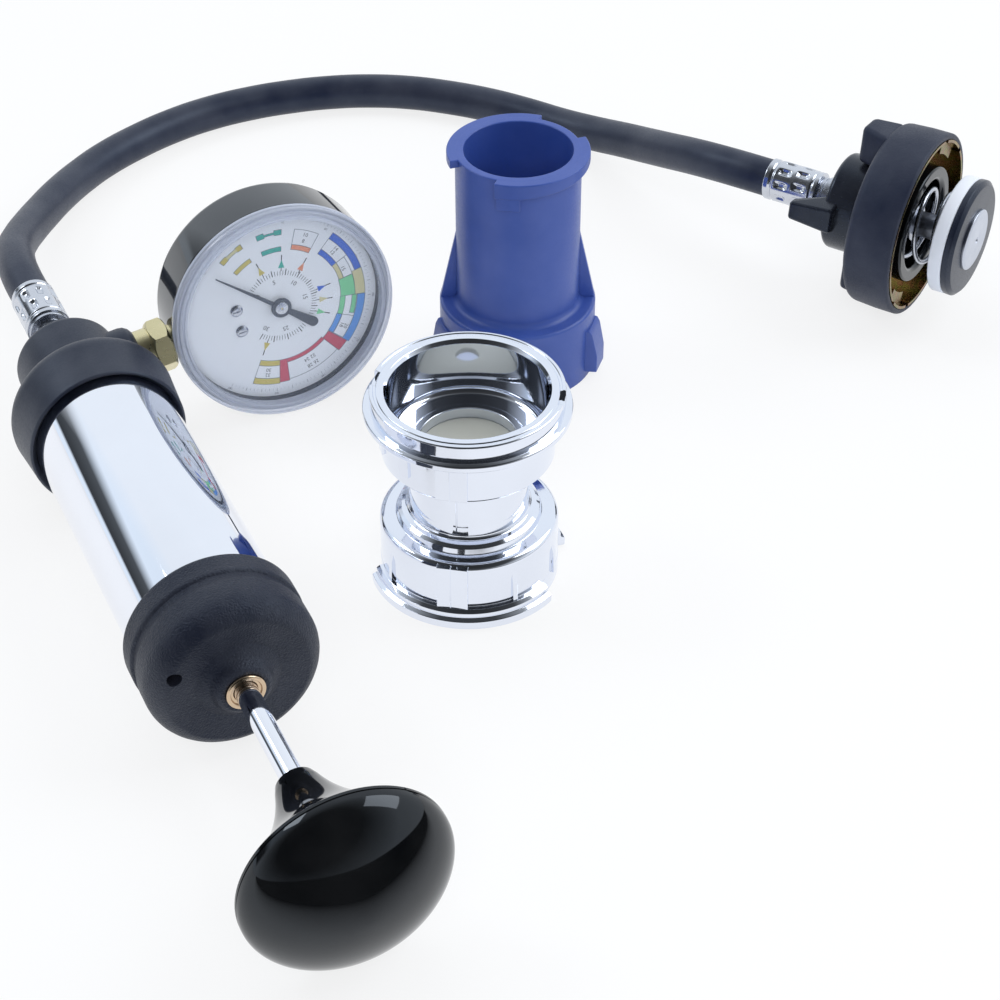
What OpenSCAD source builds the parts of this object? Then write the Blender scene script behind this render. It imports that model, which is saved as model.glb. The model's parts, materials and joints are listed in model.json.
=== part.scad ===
// Radiator pressure tester kit: a hand pump with a dial gauge, a hose that ends in a
// bayonet cap head, and two filler-neck adapters. Lengths are millimetres, +Z is up and
// everything lies on the plane z = 0, as the kit is laid out for a photograph.
// The pump's axis runs along -Y, from the hose end to the knob.

/* [Pump barrel] */
// Outside diameter of the chromed barrel
barrel_od = 41; // [34:0.5:50]
// Wall of the barrel tube
barrel_wall = 1.25; // [0.8:0.05:2]
// Length of the barrel tube
barrel_len = 110; // [90:1:200]

/* [Pump end caps] */
// Thickness of the rubber end caps over the barrel
cap_wall = 2; // [1:0.1:4]
// Swell of the front cap from its lip to its widest place
cap_swell = 1.2; // [0:0.1:3]
// Length of the front cap's skirt, lip to shoulder
skirt_len = 21; // [16:0.2:30]
// Radius of the front cap's nose round the hose fitting
nose_r = 15; // [13:0.1:18]
// Length of the front cap's nose behind the ridge
nose_len = 22.6; // [20:0.2:34]
// Length of the rear cap over its two bulges
rear_cap_len = 22.5; // [18:0.5:34]
// Length of barrel held inside the rear cap
rear_grip = 12; // [8:0.5:16]
// Length of each plug's spigot inside the barrel
spigot_len = 10; // [6:0.5:16]

/* [Plunger] */
// Diameter of the chromed piston rod
rod_d = 6; // [5:0.1:8]
// Length of rod that shows between the bush and the knob at rest
rod_shown = 33; // [16:0.5:50]
// Radius of the brass rod bush
bush_r = 5.2; // [4.6:0.1:7]
// Length of the bush that stands out of the rear cap
bush_proud = 4.6; // [2:0.2:8]
// Radius of the mushroom knob at its rim
knob_r = 26; // [22:0.1:30]
// Length of the knob from its neck to its rim
knob_neck_len = 31; // [18:0.5:40]
// Height of the knob's dome in front of the rim
knob_dome = 15.5; // [8:0.5:24]
// Length of the piston cup seal
piston_cup_len = 9; // [6:0.5:14]
// Thickness of each piston washer
piston_washer_t = 2; // [1:0.1:3]

/* [Check valve] */
// Diameter of the steel valve ball
valve_ball_d = 6; // [5:0.1:7]
// Lift of the ball off its seat
valve_lift = 2; // [1:0.1:3]
// Wire diameter of the valve spring
valve_wire_d = 0.5; // [0.4:0.05:0.8]

/* [Gauge] */
// Outside diameter of the gauge at its clear lens
gauge_od = 68; // [60:0.5:76]
// Depth of the gauge from its back to the front of the lens
gauge_depth = 22; // [19:0.5:28]
// Distance from the pump's axis to the gauge's centre
gauge_reach = 63.2; // [60:0.2:72]
// Place of the gauge stem behind the front cap's lip
stem_back = 33; // [30:0.5:36]
// Rise of the gauge stem above level, in degrees
stem_rise = 7.6; // [0:0.1:20]
// Tilt of the dial up towards the user, in degrees
dial_tilt = 5; // [0:0.5:12]
// Width across flats of the brass stem hex
stem_af = 14.3; // [12:0.1:16]
// Radius of the stem's pipe thread
stem_thread_r = 6.5; // [5.5:0.1:6.8]
// Wall of the gauge case
case_wall = 1; // [0.6:0.1:1.6]
// Length of the needle from hub to tip
needle_len = 23.5; // [18:0.5:28]
// Tooth module of the gauge movement
gear_module = 0.4; // [0.3:0.02:0.44]
// Teeth on the needle pinion
pinion_teeth = 10; // [9:1:12]
// Teeth that a full turn of the sector gear would have
sector_full_teeth = 60; // [54:1:64]

/* [Hose and crimps] */
// Outside diameter of the rubber hose
hose_od = 12.2; // [10:0.1:14]
// Wall of the crimped ferrules over the hose
ferrule_wall = 0.6; // [0.4:0.05:1]
// Length of each ferrule
ferrule_len = 17.8; // [12:0.2:24]
// Radius of the barb inside the hose
barb_r = 3.2; // [2.6:0.1:3.6]

/* [Cap head] */
// Outside radius of the cap head at its rim
head_r = 29.5; // [27:0.1:33]
// Depth of the cap head's body
head_depth = 16; // [13:0.1:20]
// Reach of the grip wings behind the body
wing_reach = 8.3; // [4:0.1:12]
// Radius of the steel stem that carries the cap head
stem_r = 6; // [5:0.1:7.5]
// Radius of the locking collar
collar_r = 15.6; // [12.5:0.1:17]
// Length of the locking collar
collar_len = 13.4; // [9:0.1:17]
// Outside radius of the spring cup inside the bayonet plate
spring_cup_r = 18.9; // [17:0.1:20]
// Thickness of the zinc-plated bayonet plate
plate_t = 0.9; // [0.6:0.1:1.4]
// Depth of the bayonet plate inside the body
plate_depth = 8; // [6.5:0.1:9]
// Mean radius of the head spring
spring_r = 11.5; // [11:0.1:12.5]
// Wire diameter of the head spring
spring_wire_d = 1.6; // [1.2:0.1:2]
// Turns of the head spring
spring_turns = 2.6; // [2:0.1:4]
// Radius of the seal and its backing disc
seal_r = 18.7; // [17:0.1:21]
// Thickness of the white backing disc
disc_t = 4.4; // [3:0.1:6]
// Thickness of the rubber seal
seal_t = 3; // [2:0.1:5]
// Radius of the steel rivet's head
rivet_r = 9.8; // [7:0.1:12]
// Travel of the seal against its spring
seal_travel = 7.5; // [3:0.1:8]

/* [Chrome adapter] */
// Height of the chrome adapter
chrome_h = 60.6; // [56:0.1:68]
// Bore of each of its filler-neck cups
neck_bore_r = 21.4; // [20:0.1:22.5]
// Wall of the cups
cup_wall = 1.9; // [1.4:0.1:2.4]
// Depth of the top cup
top_cup_depth = 17; // [13:0.1:19]
// Outside radius of the waist between the cups
waist_r = 16.4; // [15.4:0.1:18]
// Radius of the two cam flanges
cam_flange_r = 27.8; // [26.6:0.1:29]

/* [Blue adapter] */
// Height of the blue adapter
blue_h = 74.5; // [66:0.5:84]
// Bore of its tube
blue_bore_r = 16.15; // [14:0.05:17]
// Wall of its tube
blue_wall = 2.55; // [2:0.05:3]
// Reach of its two cam ears beyond the tube
ear_reach = 2.5; // [1.5:0.1:4]
// Height of its lower collar
collar_h = 23.4; // [18:0.2:30]
// Outside radius of its lower collar
blue_collar_r = 23.9; // [22.8:0.1:26]
// Wall of its lower collar
blue_collar_wall = 2.4; // [1.8:0.1:3]

/* [Hidden] */

// Clearances
run_gap = 0.05;      // radial, a shaft turning or sliding in its bore
seat_gap = 0.02;     // radial, a pressed or moulded seat within one body
move_gap = 0.3;      // between faces of pieces that move past each other
floor_gap = 0.1;     // lowest rim above the plane that the kit lies on
eps = 0.01;

// Layout of the kit on the plane
pump_x = -132;
pump_y = 56.6;
head_x = 133.8;
head_y = 49.7;
head_turn = 33.35;   // the head's axis, in degrees from -Y towards +X
chrome_pos = [-50.3, -6, 0];
blue_pos = [4.2, 77.6, 0];
adapter_turn = -25;  // both adapters' parting lines, degrees about +Z

// Pump, in a frame whose z runs from the front cap's lip to the knob
pump_z = knob_r + floor_gap;
barrel_r = barrel_od / 2;
barrel_ir = barrel_r - barrel_wall;
plug_flange_t = 4;
shoulder_wall = 3.4;
plug_back = -(skirt_len - shoulder_wall);
barrel_front = plug_back + plug_flange_t;
barrel_back = barrel_front + barrel_len;
nose_end = -(skirt_len + nose_len);
nose_wall = 3;
nose_skin = 1.6;
plug_r = nose_r - nose_wall;
spigot_r = barrel_ir - seat_gap;
valve_cavity_r = 4.2;
valve_seat_r = 5.6;
valve_seat_t = 3;
valve_top = barrel_front + spigot_len;
valve_spring_room = 6;
valve_floor = valve_top - valve_seat_t - valve_ball_d - valve_lift - valve_spring_room;
seat_mouth_r = 3;     // the seat is a 45 degree cone that opens to this radius
valve_spring_r = 2.2;
ball_z = valve_top - valve_seat_t + seat_mouth_r - (valve_ball_d / 2 + run_gap) * sqrt(2);
valve_spring_top = ball_z
    - sqrt(pow((valve_ball_d + valve_wire_d) / 2 + run_gap, 2) - pow(valve_spring_r, 2));
air_r = 1.8;
nipple_thread_r = barb_r + 1.8;
nipple_thread_len = 7;
nipple_af = 12;
rear_face = barrel_back - rear_grip + rear_cap_len;
rear_flange_t = 3;
bush_end = rear_face + bush_proud;
knob_start = bush_end + rod_shown;
knob_rim = knob_start + knob_neck_len;
insert_r = 5;
insert_len = 15;
rod_r = rod_d / 2;
nut_h = 5;
piston_front = valve_top + nut_h + rod_shown + move_gap;
piston_back = piston_front + 2 * piston_washer_t + piston_cup_len;
rod_front = piston_front - nut_h;
nut_af = 10;
port_boss_r = 9;
port_boss_out = 19.8;

// Gauge, in a frame whose z is the dial's normal and whose y points away from the stem
gauge_r = gauge_od / 2;
lens_t = 3;
lens_front = 8.6;
case_back = lens_front - gauge_depth;
case_front = lens_front - lens_t;
case_r = gauge_r - 0.6;
stem_hex_out = gauge_reach - gauge_r - 0.1;    // clear of the lens's rim
stem_hex_in = stem_hex_out - 5.6;
stem_neck_r = stem_thread_r - 1.4;   // where the stem passes the case's wall
stem_tail_r = 2;                     // where it runs on under the dial
dial_t = 0.6;
dial_back = 2.2;
dial_r = case_r - case_wall - 0.8;
needle_back = dial_back + dial_t + 1;
needle_t = 0.5;
lens_inner = needle_back + needle_t + 1.2;
arbor_r = 0.8;
pinion_r = gear_module * pinion_teeth / 2;
sector_r = gear_module * sector_full_teeth / 2;
gear_centres = pinion_r + sector_r;
gear_back = -3;
gear_t = 2;
zero_angle = 225;    // the needle at rest, degrees from the dial's 3 o'clock
needle_sweep = 270;
sector_sweep = needle_sweep * pinion_teeth / sector_full_teeth;
frame_plate_t = 0.8;
bourdon_r = 24;
block_y = -24.5;

// Head, in a frame whose z points out of the cap towards the seal, zero at the rim
head_z = head_r + floor_gap;
disc_back = seal_travel + 0.9;
disc_front = disc_back + disc_t;
seal_front = disc_front + seal_t;
well_floor = -9;
well_r = spring_cup_r - 4.7;
cup_front = -0.4;
back_wall = 2.2;
collar_front = -head_depth - move_gap;
collar_back = collar_front - collar_len;
clip_t = 1.2;
stem_back_end = collar_back - 2 * move_gap - clip_t - 2.6;
stem_front_end = -3;
stem_bore_r = 4;
flange_back = well_floor + move_gap;
ferrule_start = stem_back_end - 2.4;
ferrule_end = ferrule_start - ferrule_len;
ferrule_r = hose_od / 2 + ferrule_wall;
pump_ferrule_start = nose_end - 16.4;
pump_ferrule_end = pump_ferrule_start - ferrule_len;
wall_t = 2;

// Points of an arc, for outlines
function arc(c, r, a0, a1, n = 6) =
    [for (i = [0:n]) c + r * [cos(a0 + (a1 - a0) * i / n), sin(a0 + (a1 - a0) * i / n)]];

module spun(points) rotate_extrude($fn = 96) polygon(points);
module bar(r, z0, z1, fn = 48) translate([0, 0, z0]) cylinder(h = z1 - z0, r = r, $fn = fn);
module hex(af, z0, z1) translate([0, 0, z0]) cylinder(h = z1 - z0, r = af / sqrt(3), $fn = 6);
module sleeve(r_out, r_in, z0, z1) difference() {
    bar(r_out, z0, z1, 96);
    bar(r_in, z0 - eps, z1 + eps, 96);
}
module torus(r, d) rotate_extrude($fn = 64) translate([r, 0]) circle(d = d, $fn = 20);

module pump_place() translate([pump_x, pump_y, pump_z]) rotate([90, 0, 0]) children();
module stem_place() pump_place() translate([0, 0, -stem_back]) rotate([0, 0, stem_rise])
    rotate([0, 90, 0]) children();
module gauge_place() translate([pump_x, pump_y + stem_back, pump_z]) rotate([0, 90 - stem_rise, 0])
    rotate([90, 0, 0]) translate([0, gauge_reach, 0]) rotate([0, -dial_tilt, 0]) children();
module head_place() translate([head_x, head_y, head_z]) rotate([0, 0, head_turn])
    rotate([90, 0, 0]) children();
module chrome_place() translate(chrome_pos) rotate([0, 0, adapter_turn]) children();
module blue_place() translate(blue_pos) rotate([0, 0, adapter_turn]) children();

// One unbroken tube along a list of points, with flat ends square to the first and last run
function unit(v) = v / norm(v);
function along(p, i) = unit(p[min(i + 1, len(p) - 1)] - p[max(i - 1, 0)]);
function side_of(t, up) = unit(cross(t, up));
module swept(p, r, sides, up) {
    n = len(p);
    rings = [for (i = [0:n - 1]) let (t = along(p, i), u = side_of(t, up), v = cross(u, t))
        for (k = [0:sides - 1]) p[i] + r * (cos(360 * k / sides) * u + sin(360 * k / sides) * v)];
    caps = [[for (k = [0:sides - 1]) k], [for (k = [sides - 1:-1:0]) (n - 1) * sides + k]];
    walls = [for (i = [0:n - 2], k = [0:sides - 1]) let (a = i * sides + k,
        b = i * sides + (k + 1) % sides) each [[a, a + sides, b], [b, a + sides, b + sides]]];
    polyhedron(points = rings, faces = concat(caps, walls), convexity = 10);
}
function coil(r, z0, z1, turns, per_turn) = let (n = round(turns * per_turn))
    [for (i = [0:n]) [r * cos(360 * turns * i / n), r * sin(360 * turns * i / n),
        z0 + (z1 - z0) * i / n]];
// Least distance between points of a tube that lie more than half a turn apart, less the wire
function self_gap(p, per_turn, d) = min([for (i = [0:len(p) - 1], j = [i + per_turn / 2:1:len(p) - 1])
    norm(p[i] - p[j])]) - d;

// ---------------------------------------------------------------- pump barrel and plugs
module barrel() color([0.86, 0.88, 0.9]) pump_place()
    sleeve(barrel_r, barrel_ir, barrel_front, barrel_back);

module front_plug() color([0.16, 0.16, 0.17]) pump_place() difference() {
    union() {
        bar(plug_r, nose_end + nose_skin, plug_back, 96);
        bar(barrel_r, plug_back, barrel_front, 96);
        bar(spigot_r, barrel_front, valve_top, 96);
    }
    translate([0, 0, (barrel_front + valve_top) / 2]) difference() {
        bar(barrel_r, -1.3, 1.3, 96);
        bar(spigot_r - 1.8, -1.4, 1.4, 96);
    }
    bar(valve_seat_r + seat_gap, valve_top - valve_seat_t, valve_top + eps);
    bar(valve_cavity_r, valve_floor, valve_top - valve_seat_t + eps);
    bar(air_r, -stem_back, valve_floor + eps);
    bar(air_r, nose_end, -stem_back + eps);
    bar(nipple_thread_r, nose_end, nose_end + nipple_thread_len);
    translate([0, 0, -stem_back]) rotate([0, 0, stem_rise]) rotate([0, 90, 0]) {
        bar(stem_thread_r + seat_gap, 7.6, plug_r + 2);
        bar(1.5, 0, 8);
    }
}

oring_d = 1.7;
module plug_oring() color([0.08, 0.08, 0.08]) pump_place()
    translate([0, 0, (barrel_front + valve_top) / 2]) torus(barrel_ir - run_gap - oring_d / 2, oring_d);

module valve_seat() color([0.78, 0.6, 0.28]) pump_place() difference() {
    bar(valve_seat_r, valve_top - valve_seat_t, valve_top);
    bar(air_r, valve_top - valve_seat_t - eps, valve_top + eps);
    translate([0, 0, valve_top - valve_seat_t - eps])
        cylinder(h = seat_mouth_r - air_r, r1 = seat_mouth_r, r2 = air_r, $fn = 48);
    translate([0, 0, valve_top - 0.8]) cube([1.4, 3 * valve_seat_r, 2], center = true);
}

module valve_ball() color([0.75, 0.76, 0.78]) pump_place()
    translate([0, 0, ball_z]) sphere(d = valve_ball_d, $fn = 48);

module valve_spring() color([0.6, 0.6, 0.62]) {
    p = coil(valve_spring_r, valve_floor + valve_wire_d / 2 + run_gap, valve_spring_top, 5, 8);
    echo(valve_spring_self_gap = self_gap(p, 8, valve_wire_d));
    pump_place() swept(p, valve_wire_d / 2, 6, [0, 0, 1]);
}

module rear_plug() color([0.16, 0.16, 0.17]) pump_place() difference() {
    union() {
        bar(spigot_r, barrel_back - spigot_len, barrel_back, 96);
        bar(barrel_r, barrel_back, barrel_back + rear_flange_t, 96);
    }
    bar(bush_r + seat_gap, barrel_back - spigot_len - eps, barrel_back + rear_flange_t + eps);
    rotate([0, 0, vent_angle]) translate([vent_out, 0, 0])
        bar(vent_r - 0.6, barrel_back - spigot_len - 1, barrel_back + 6, 24);
}

module rod_bush() color([0.72, 0.5, 0.26]) pump_place() difference() {
    union() {
        bar(bush_r, barrel_back - spigot_len, bush_end - 0.6);
        translate([0, 0, bush_end - 0.6]) cylinder(h = 0.6, r1 = bush_r, r2 = bush_r - 0.6, $fn = 48);
    }
    bar(rod_r + run_gap, barrel_back - spigot_len - eps, bush_end + eps);
    translate([0, 0, bush_end - 0.5]) cylinder(h = 0.5 + eps, r1 = rod_r + run_gap,
        r2 = rod_r + 0.8, $fn = 48);
}

module stop_bumper() color([0.1, 0.1, 0.1]) pump_place()
    sleeve(bush_r + 3, bush_r - 1, barrel_back - spigot_len - 2.5, barrel_back - spigot_len);

// ---------------------------------------------------------------- rubber end caps
lip_r = barrel_r + cap_wall;
ridge_r = lip_r + cap_swell;
shoulder_r = 6.5;
module front_cap() color([0.13, 0.13, 0.14]) pump_place() difference() {
    union() {
        spun(concat([[0, 0], [lip_r - 0.8, 0]], arc([lip_r - 0.8, -0.8], 0.8, 90, 0, 3),
            arc([ridge_r - shoulder_r, -skirt_len + shoulder_r], shoulder_r, 12, -84, 8),
            [[nose_r + 0.5, -skirt_len - 0.2], [nose_r, -skirt_len - 0.8]],
            arc([nose_r - 3, nose_end + 3], 3, 0, -90, 5), [[0, nose_end]]));
        translate([0, 0, -stem_back]) rotate([0, 0, stem_rise]) rotate([0, 90, 0])
            spun(concat([[0, 0], [port_boss_r, 0]],
                arc([port_boss_r - 3.6, port_boss_out - 3.6], 3.6, 0, 90, 4), [[0, port_boss_out]]));
    }
    bar(barrel_r + seat_gap, plug_back, 1, 96);
    spun([[0, 1], [lip_r - 0.7, 1], [lip_r - 0.7, 0], [barrel_r, -1.6], [0, -1.6]]);
    bar(plug_r + seat_gap, nose_end + nose_skin, plug_back + eps, 96);
    bar(barb_r + 2, nose_end - 1, nose_end + nose_skin + 1);
    translate([0, 0, -stem_back]) rotate([0, 0, stem_rise]) rotate([0, 90, 0])
        bar(stem_thread_r + seat_gap, plug_r - 2, port_boss_out + 1);
}

vent_angle = 157;
vent_out = 17.6;
vent_r = 1.9;
module rear_cap() color([0.13, 0.13, 0.14]) pump_place() {
    z0 = rear_face - rear_cap_len;
    r1 = lip_r + 0.7;
    r2 = lip_r + 0.5;
    difference() {
        spun(concat([[0, z0]], arc([r1 - 1.6, z0 + 1.6], 1.6, -90, 0, 4), arc([r1 - 1.2, z0 + 6.4], 1.2, 0, 70, 3),
            [[lip_r - 0.1, z0 + 8.2], [lip_r - 0.1, z0 + 9.2], [r2, z0 + 11]],
            arc([r2 - 7.5, rear_face - 7], 7.5, 0, 69, 7),
            [[bush_r + 5.5, rear_face - 0.7], [bush_r + 2, rear_face - 0.2], [0, rear_face - 0.2]]));
        bar(barrel_r + seat_gap, z0 - 1, barrel_back + rear_flange_t, 96);
        bar(bush_r + seat_gap, z0 - 1, rear_face + 1);
        bar(bush_r + 0.9, rear_face - 2.4, rear_face + 1);
        rotate([0, 0, vent_angle]) translate([vent_out, 0, 0])
            bar(vent_r, barrel_back, rear_face + 4, 24);
    }
}

// ---------------------------------------------------------------- plunger
module piston_rod() color([0.88, 0.89, 0.91]) pump_place()
    bar(rod_r, rod_front, knob_start + 2 + insert_len);

piston_hub_r = bush_r + 4;
module piston_washers() color([0.7, 0.71, 0.73]) pump_place() {
    sleeve(piston_hub_r, rod_r + seat_gap, piston_front, piston_front + piston_washer_t);
    sleeve(barrel_ir - 1.6, rod_r + seat_gap, piston_back - piston_washer_t, piston_back);
}

// The cup's lip faces the front, so that the push stroke presses it against the barrel
module piston_cup() color([0.35, 0.22, 0.13]) pump_place() difference() {
    z0 = piston_front + piston_washer_t;
    z1 = piston_back - piston_washer_t;
    bar(barrel_ir - 2 * run_gap, z0, z1, 96);
    bar(rod_r + seat_gap, z0 - eps, z1 + eps);
    sleeve(barrel_ir - 1.8, piston_hub_r, z0 - 1, z1 - 2);
}

module piston_nut() color([0.75, 0.76, 0.78]) pump_place() difference() {
    hex(nut_af, rod_front, piston_front);
    bar(rod_r + seat_gap, rod_front - eps, piston_front + eps);
}

module knob_insert() color([0.78, 0.6, 0.28]) pump_place()
    sleeve(insert_r, rod_r + seat_gap, knob_start + 2, knob_start + 2 + insert_len);

neck_r = 5.4;
// The knob's back flares from the neck to the rim; its dome is a little fuller than an ellipse
function flare(u) = [neck_r + (knob_r - neck_r) * (0.35 * u + 0.65 * u * u), knob_neck_len * u];
function dome(a) = [knob_r * pow(cos(a), 1.15), knob_neck_len + 1 + (knob_dome - 1) * pow(sin(a), 1.15)];
module pump_knob() color([0.03, 0.03, 0.035]) pump_place() translate([0, 0, knob_start])
    difference() {
        spun(concat([[0, 0], [neck_r - 0.5, 0], [neck_r, 0.5]], [for (i = [1:9]) flare(i / 9.4)],
            [[knob_r - 0.5, knob_neck_len - 0.2], [knob_r, knob_neck_len + 0.4]],
            [for (i = [0:11]) dome(90 * i / 12)], [[0, knob_neck_len + knob_dome]]));
        bar(rod_r + 0.4, -1, 2 + eps);
        bar(insert_r + seat_gap, 2, 2 + insert_len);
    }

// ---------------------------------------------------------------- gauge
module gauge_socket() color([0.8, 0.64, 0.3]) difference() {
    union() {
        stem_place() {
            bar(stem_thread_r, 8, stem_hex_in + 1);
            intersection() {
                rotate([0, 0, 10]) hex(stem_af, stem_hex_in, stem_hex_out);
                spun([[0, stem_hex_in], [stem_af / 2 - 0.2, stem_hex_in],
                    [stem_af / sqrt(3) + 0.2, stem_hex_in + 1.2],
                    [stem_af / sqrt(3) + 0.2, stem_hex_out - 1.2],
                    [stem_af / 2 - 0.2, stem_hex_out], [0, stem_hex_out]]);
            }
            bar(stem_neck_r, stem_hex_out - 1, gauge_reach - case_r + case_wall);
            bar(stem_tail_r, stem_hex_out - 1, gauge_reach - case_r + 4);
        }
        gauge_place() translate([-5, -case_r + 2, -8.5]) cube([10, case_r - 2 + block_y + 4, 7]);
    }
    stem_place() bar(1.5, 0, gauge_reach - case_r + 5);
    // the slot that the curved tube is brazed into
    gauge_place() rotate([0, 0, bourdon_from - 2]) bourdon_arc(6, 2 * run_gap);
}

module gauge_case() color([0.04, 0.04, 0.05]) gauge_place() difference() {
    spun(concat([[0, case_back]], arc([case_r - 2.6, case_back + 2.6], 2.6, -90, 0, 5),
        [[case_r, case_front], [case_r - case_wall, case_front]],
        arc([case_r - 2.8, case_back + 2.8], 2.8 - case_wall, 0, -90, 5),
        [[0, case_back + case_wall]]));
    rotate([90, 0, 0]) bar(stem_neck_r + seat_gap, case_r - 6, case_r + 6);
}

module gauge_lens() color([0.85, 0.92, 0.97, 0.35]) gauge_place()
    spun([[0, lens_inner], [dial_r - 1.6, lens_inner], [dial_r - 1.6, case_front - 0.9],
        [case_r - case_wall - 0.05, case_front - 0.9], [case_r - case_wall - 0.05, case_front],
        [gauge_r, case_front], [gauge_r, lens_front - 1.1], [gauge_r - 0.5, lens_front - 0.6],
        [gauge_r - 1.1, lens_front - 0.6], [gauge_r - 1.3, lens_front], [gauge_r - 2.4, lens_front],
        [gauge_r - 2.8, lens_front - 0.5], [gauge_r - 3.6, lens_front - 0.3], [0, lens_front - 0.3]]);

module lens_gasket() color([0.06, 0.06, 0.06]) gauge_place()
    sleeve(case_r - case_wall - 0.1, dial_r - 1.2, dial_back + dial_t, case_front - 0.9);

module gauge_dial() color([0.96, 0.96, 0.94]) gauge_place() difference() {
    bar(dial_r, dial_back, dial_back + dial_t, 96);
    bar(arbor_r + 0.6, dial_back - 1, dial_back + dial_t + 1);
    for (x = [-1, 1]) translate([x * screw_x, screw_y, 0]) bar(screw_r + run_gap, dial_back - 1, dial_back + 2, 24);
}

screw_x = 3.6;
screw_y = -13;
screw_r = 0.85;
module dial_screws() color([0.8, 0.8, 0.8]) gauge_place()
    for (x = [-1, 1]) translate([x * screw_x, screw_y, 0]) {
        translate([0, 0, dial_back + dial_t]) difference() {
            spun([[0, 0], [1.9, 0], [1.9, 0.3], [1.2, 0.8], [0, 0.9]]);
            translate([0, 0, 0.9]) cube([0.4, 4, 0.6], center = true);
        }
        bar(screw_r, -0.8, dial_back + dial_t + eps, 24);
    }

module gauge_needle() color([0.22, 0.24, 0.28]) gauge_place() translate([0, 0, needle_back])
    difference() {
        union() {
            rotate([0, 0, zero_angle]) linear_extrude(needle_t) polygon([[-13.4, -1.1],
                [-12.6, -1.5], [-5, -1.2], [0, -1.1], [needle_len, -0.15], [needle_len, 0.15],
                [0, 1.1], [-5, 1.2], [-12.6, 1.5], [-13.4, 1.1]]);
            bar(2.4, 0, needle_t + 0.5);
        }
        bar(arbor_r + seat_gap, -1, needle_t + 2, 24);
    }

// The pinion is cut on the needle's arbor; the sector gear drives it
module teeth(r, count, from, gaps, z0, t) for (i = [0:count - 1])
    rotate([0, 0, from + i * gaps]) translate([0, 0, z0]) linear_extrude(t)
        polygon([[r - 1.15 * gear_module, -0.62 * gear_module],
            [r - 0.1 * gear_module, -0.58 * gear_module], [r + 0.7 * gear_module, -0.26 * gear_module],
            [r + 0.7 * gear_module, 0.26 * gear_module], [r - 0.1 * gear_module, 0.58 * gear_module],
            [r - 1.15 * gear_module, 0.62 * gear_module]]);

module needle_arbor() color([0.78, 0.62, 0.3]) gauge_place() {
    bar(arbor_r, -5.4, needle_back + needle_t + 0.5, 24);
    bar(pinion_r - 1.1 * gear_module, gear_back, gear_back + gear_t, 32);
    teeth(pinion_r, pinion_teeth, -90 + 180 / pinion_teeth, 360 / pinion_teeth, gear_back, gear_t);
}

sector_tail = 5.2;    // passes inside the frame's posts
tooth_gap = 360 / sector_full_teeth;
sector_teeth = ceil(sector_sweep / tooth_gap) + 4;
module sector_gear() color([0.82, 0.66, 0.34]) gauge_place() translate([0, -gear_centres, 0])
    difference() {
        union() {
            // rest: the needle is at zero, so the toothed arc lies to the side that it will use
            rotate([0, 0, 90]) {
                intersection() {
                    sleeve(sector_r - 0.9 * gear_module, sector_r - 2, gear_back, gear_back + gear_t);
                    wedge(-tooth_gap * 2.5, tooth_gap * (sector_teeth - 2.5), gear_back, gear_t);
                }
                teeth(sector_r, sector_teeth, -2 * tooth_gap, tooth_gap, gear_back, gear_t);
                rotate([0, 0, tooth_gap * (sector_teeth / 2 - 2.5)]) translate([0, -1.2, gear_back])
                    cube([sector_r - 1.4, 2.4, gear_t]);
                rotate([0, 0, 180]) translate([0, -1, gear_back]) cube([sector_tail, 2, gear_t]);
            }
            bar(2.2, gear_back, gear_back + gear_t);
        }
        bar(0.8 + run_gap, gear_back - 1, gear_back + gear_t + 1, 24);
        rotate([0, 0, 90]) translate([1 - sector_tail, 0, 0]) bar(0.5, gear_back - 1, gear_back + 3, 24);
    }
module wedge(a0, a1, z0, t) translate([0, 0, z0]) linear_extrude(t)
    polygon(concat([[0, 0]], arc([0, 0], 2 * sector_r, a0, a1, 8)));

module movement_frame() color([0.8, 0.66, 0.36]) gauge_place() {
    for (z = [-5.4, -0.9]) difference() {
        translate([-6, -gear_centres - 5, z]) cube([12, gear_centres + 9, frame_plate_t]);
        bar(arbor_r + run_gap, z - 1, z + 2, 24);
        for (x = [-1, 1]) translate([x * screw_x, screw_y, 0]) bar(screw_r + run_gap, z - 1, z + 2, 24);
    }
    translate([0, -gear_centres, 0]) bar(0.8, -5.4 + frame_plate_t, -0.9 + eps, 24);
    for (x = [-5.1, 5.1]) translate([x, -gear_centres - 4.1, 0]) bar(0.8, -5.4 + frame_plate_t, -0.9, 24);
}

bourdon_z = gear_back - 5.3;
bourdon_d = 6.4;
bourdon_from = -80;
bourdon_sweep = 255;
module bourdon_arc(sweep, gap) translate([0, 0, bourdon_z]) rotate_extrude(angle = sweep, $fn = 96)
    translate([bourdon_r, 0]) scale([(0.3 * bourdon_d + 2 * gap) / (bourdon_d + 2 * gap), 1])
        circle(d = bourdon_d + 2 * gap, $fn = 24);
module bourdon_tube() color([0.84, 0.7, 0.42]) gauge_place() {
    rotate([0, 0, bourdon_from]) bourdon_arc(bourdon_sweep, 0);
    rotate([0, 0, bourdon_from + bourdon_sweep]) translate([bourdon_r - 1.3, -0.4, bourdon_z - 3])
        cube([2.6, 3, 6]);
}

module link_arm() color([0.75, 0.75, 0.77]) gauge_place() {
    a = [bourdon_r * cos(174) + 2, bourdon_r * sin(174) + 1, gear_back - 1.6];
    b = [-7.6, -gear_centres - 5.4, gear_back - 1.6];
    d = b - a;
    translate(a) rotate([0, 0, atan2(d[1], d[0])]) translate([0, -0.9, 0])
        cube([norm([d[0], d[1]]), 1.8, 0.6]);
}

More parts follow.
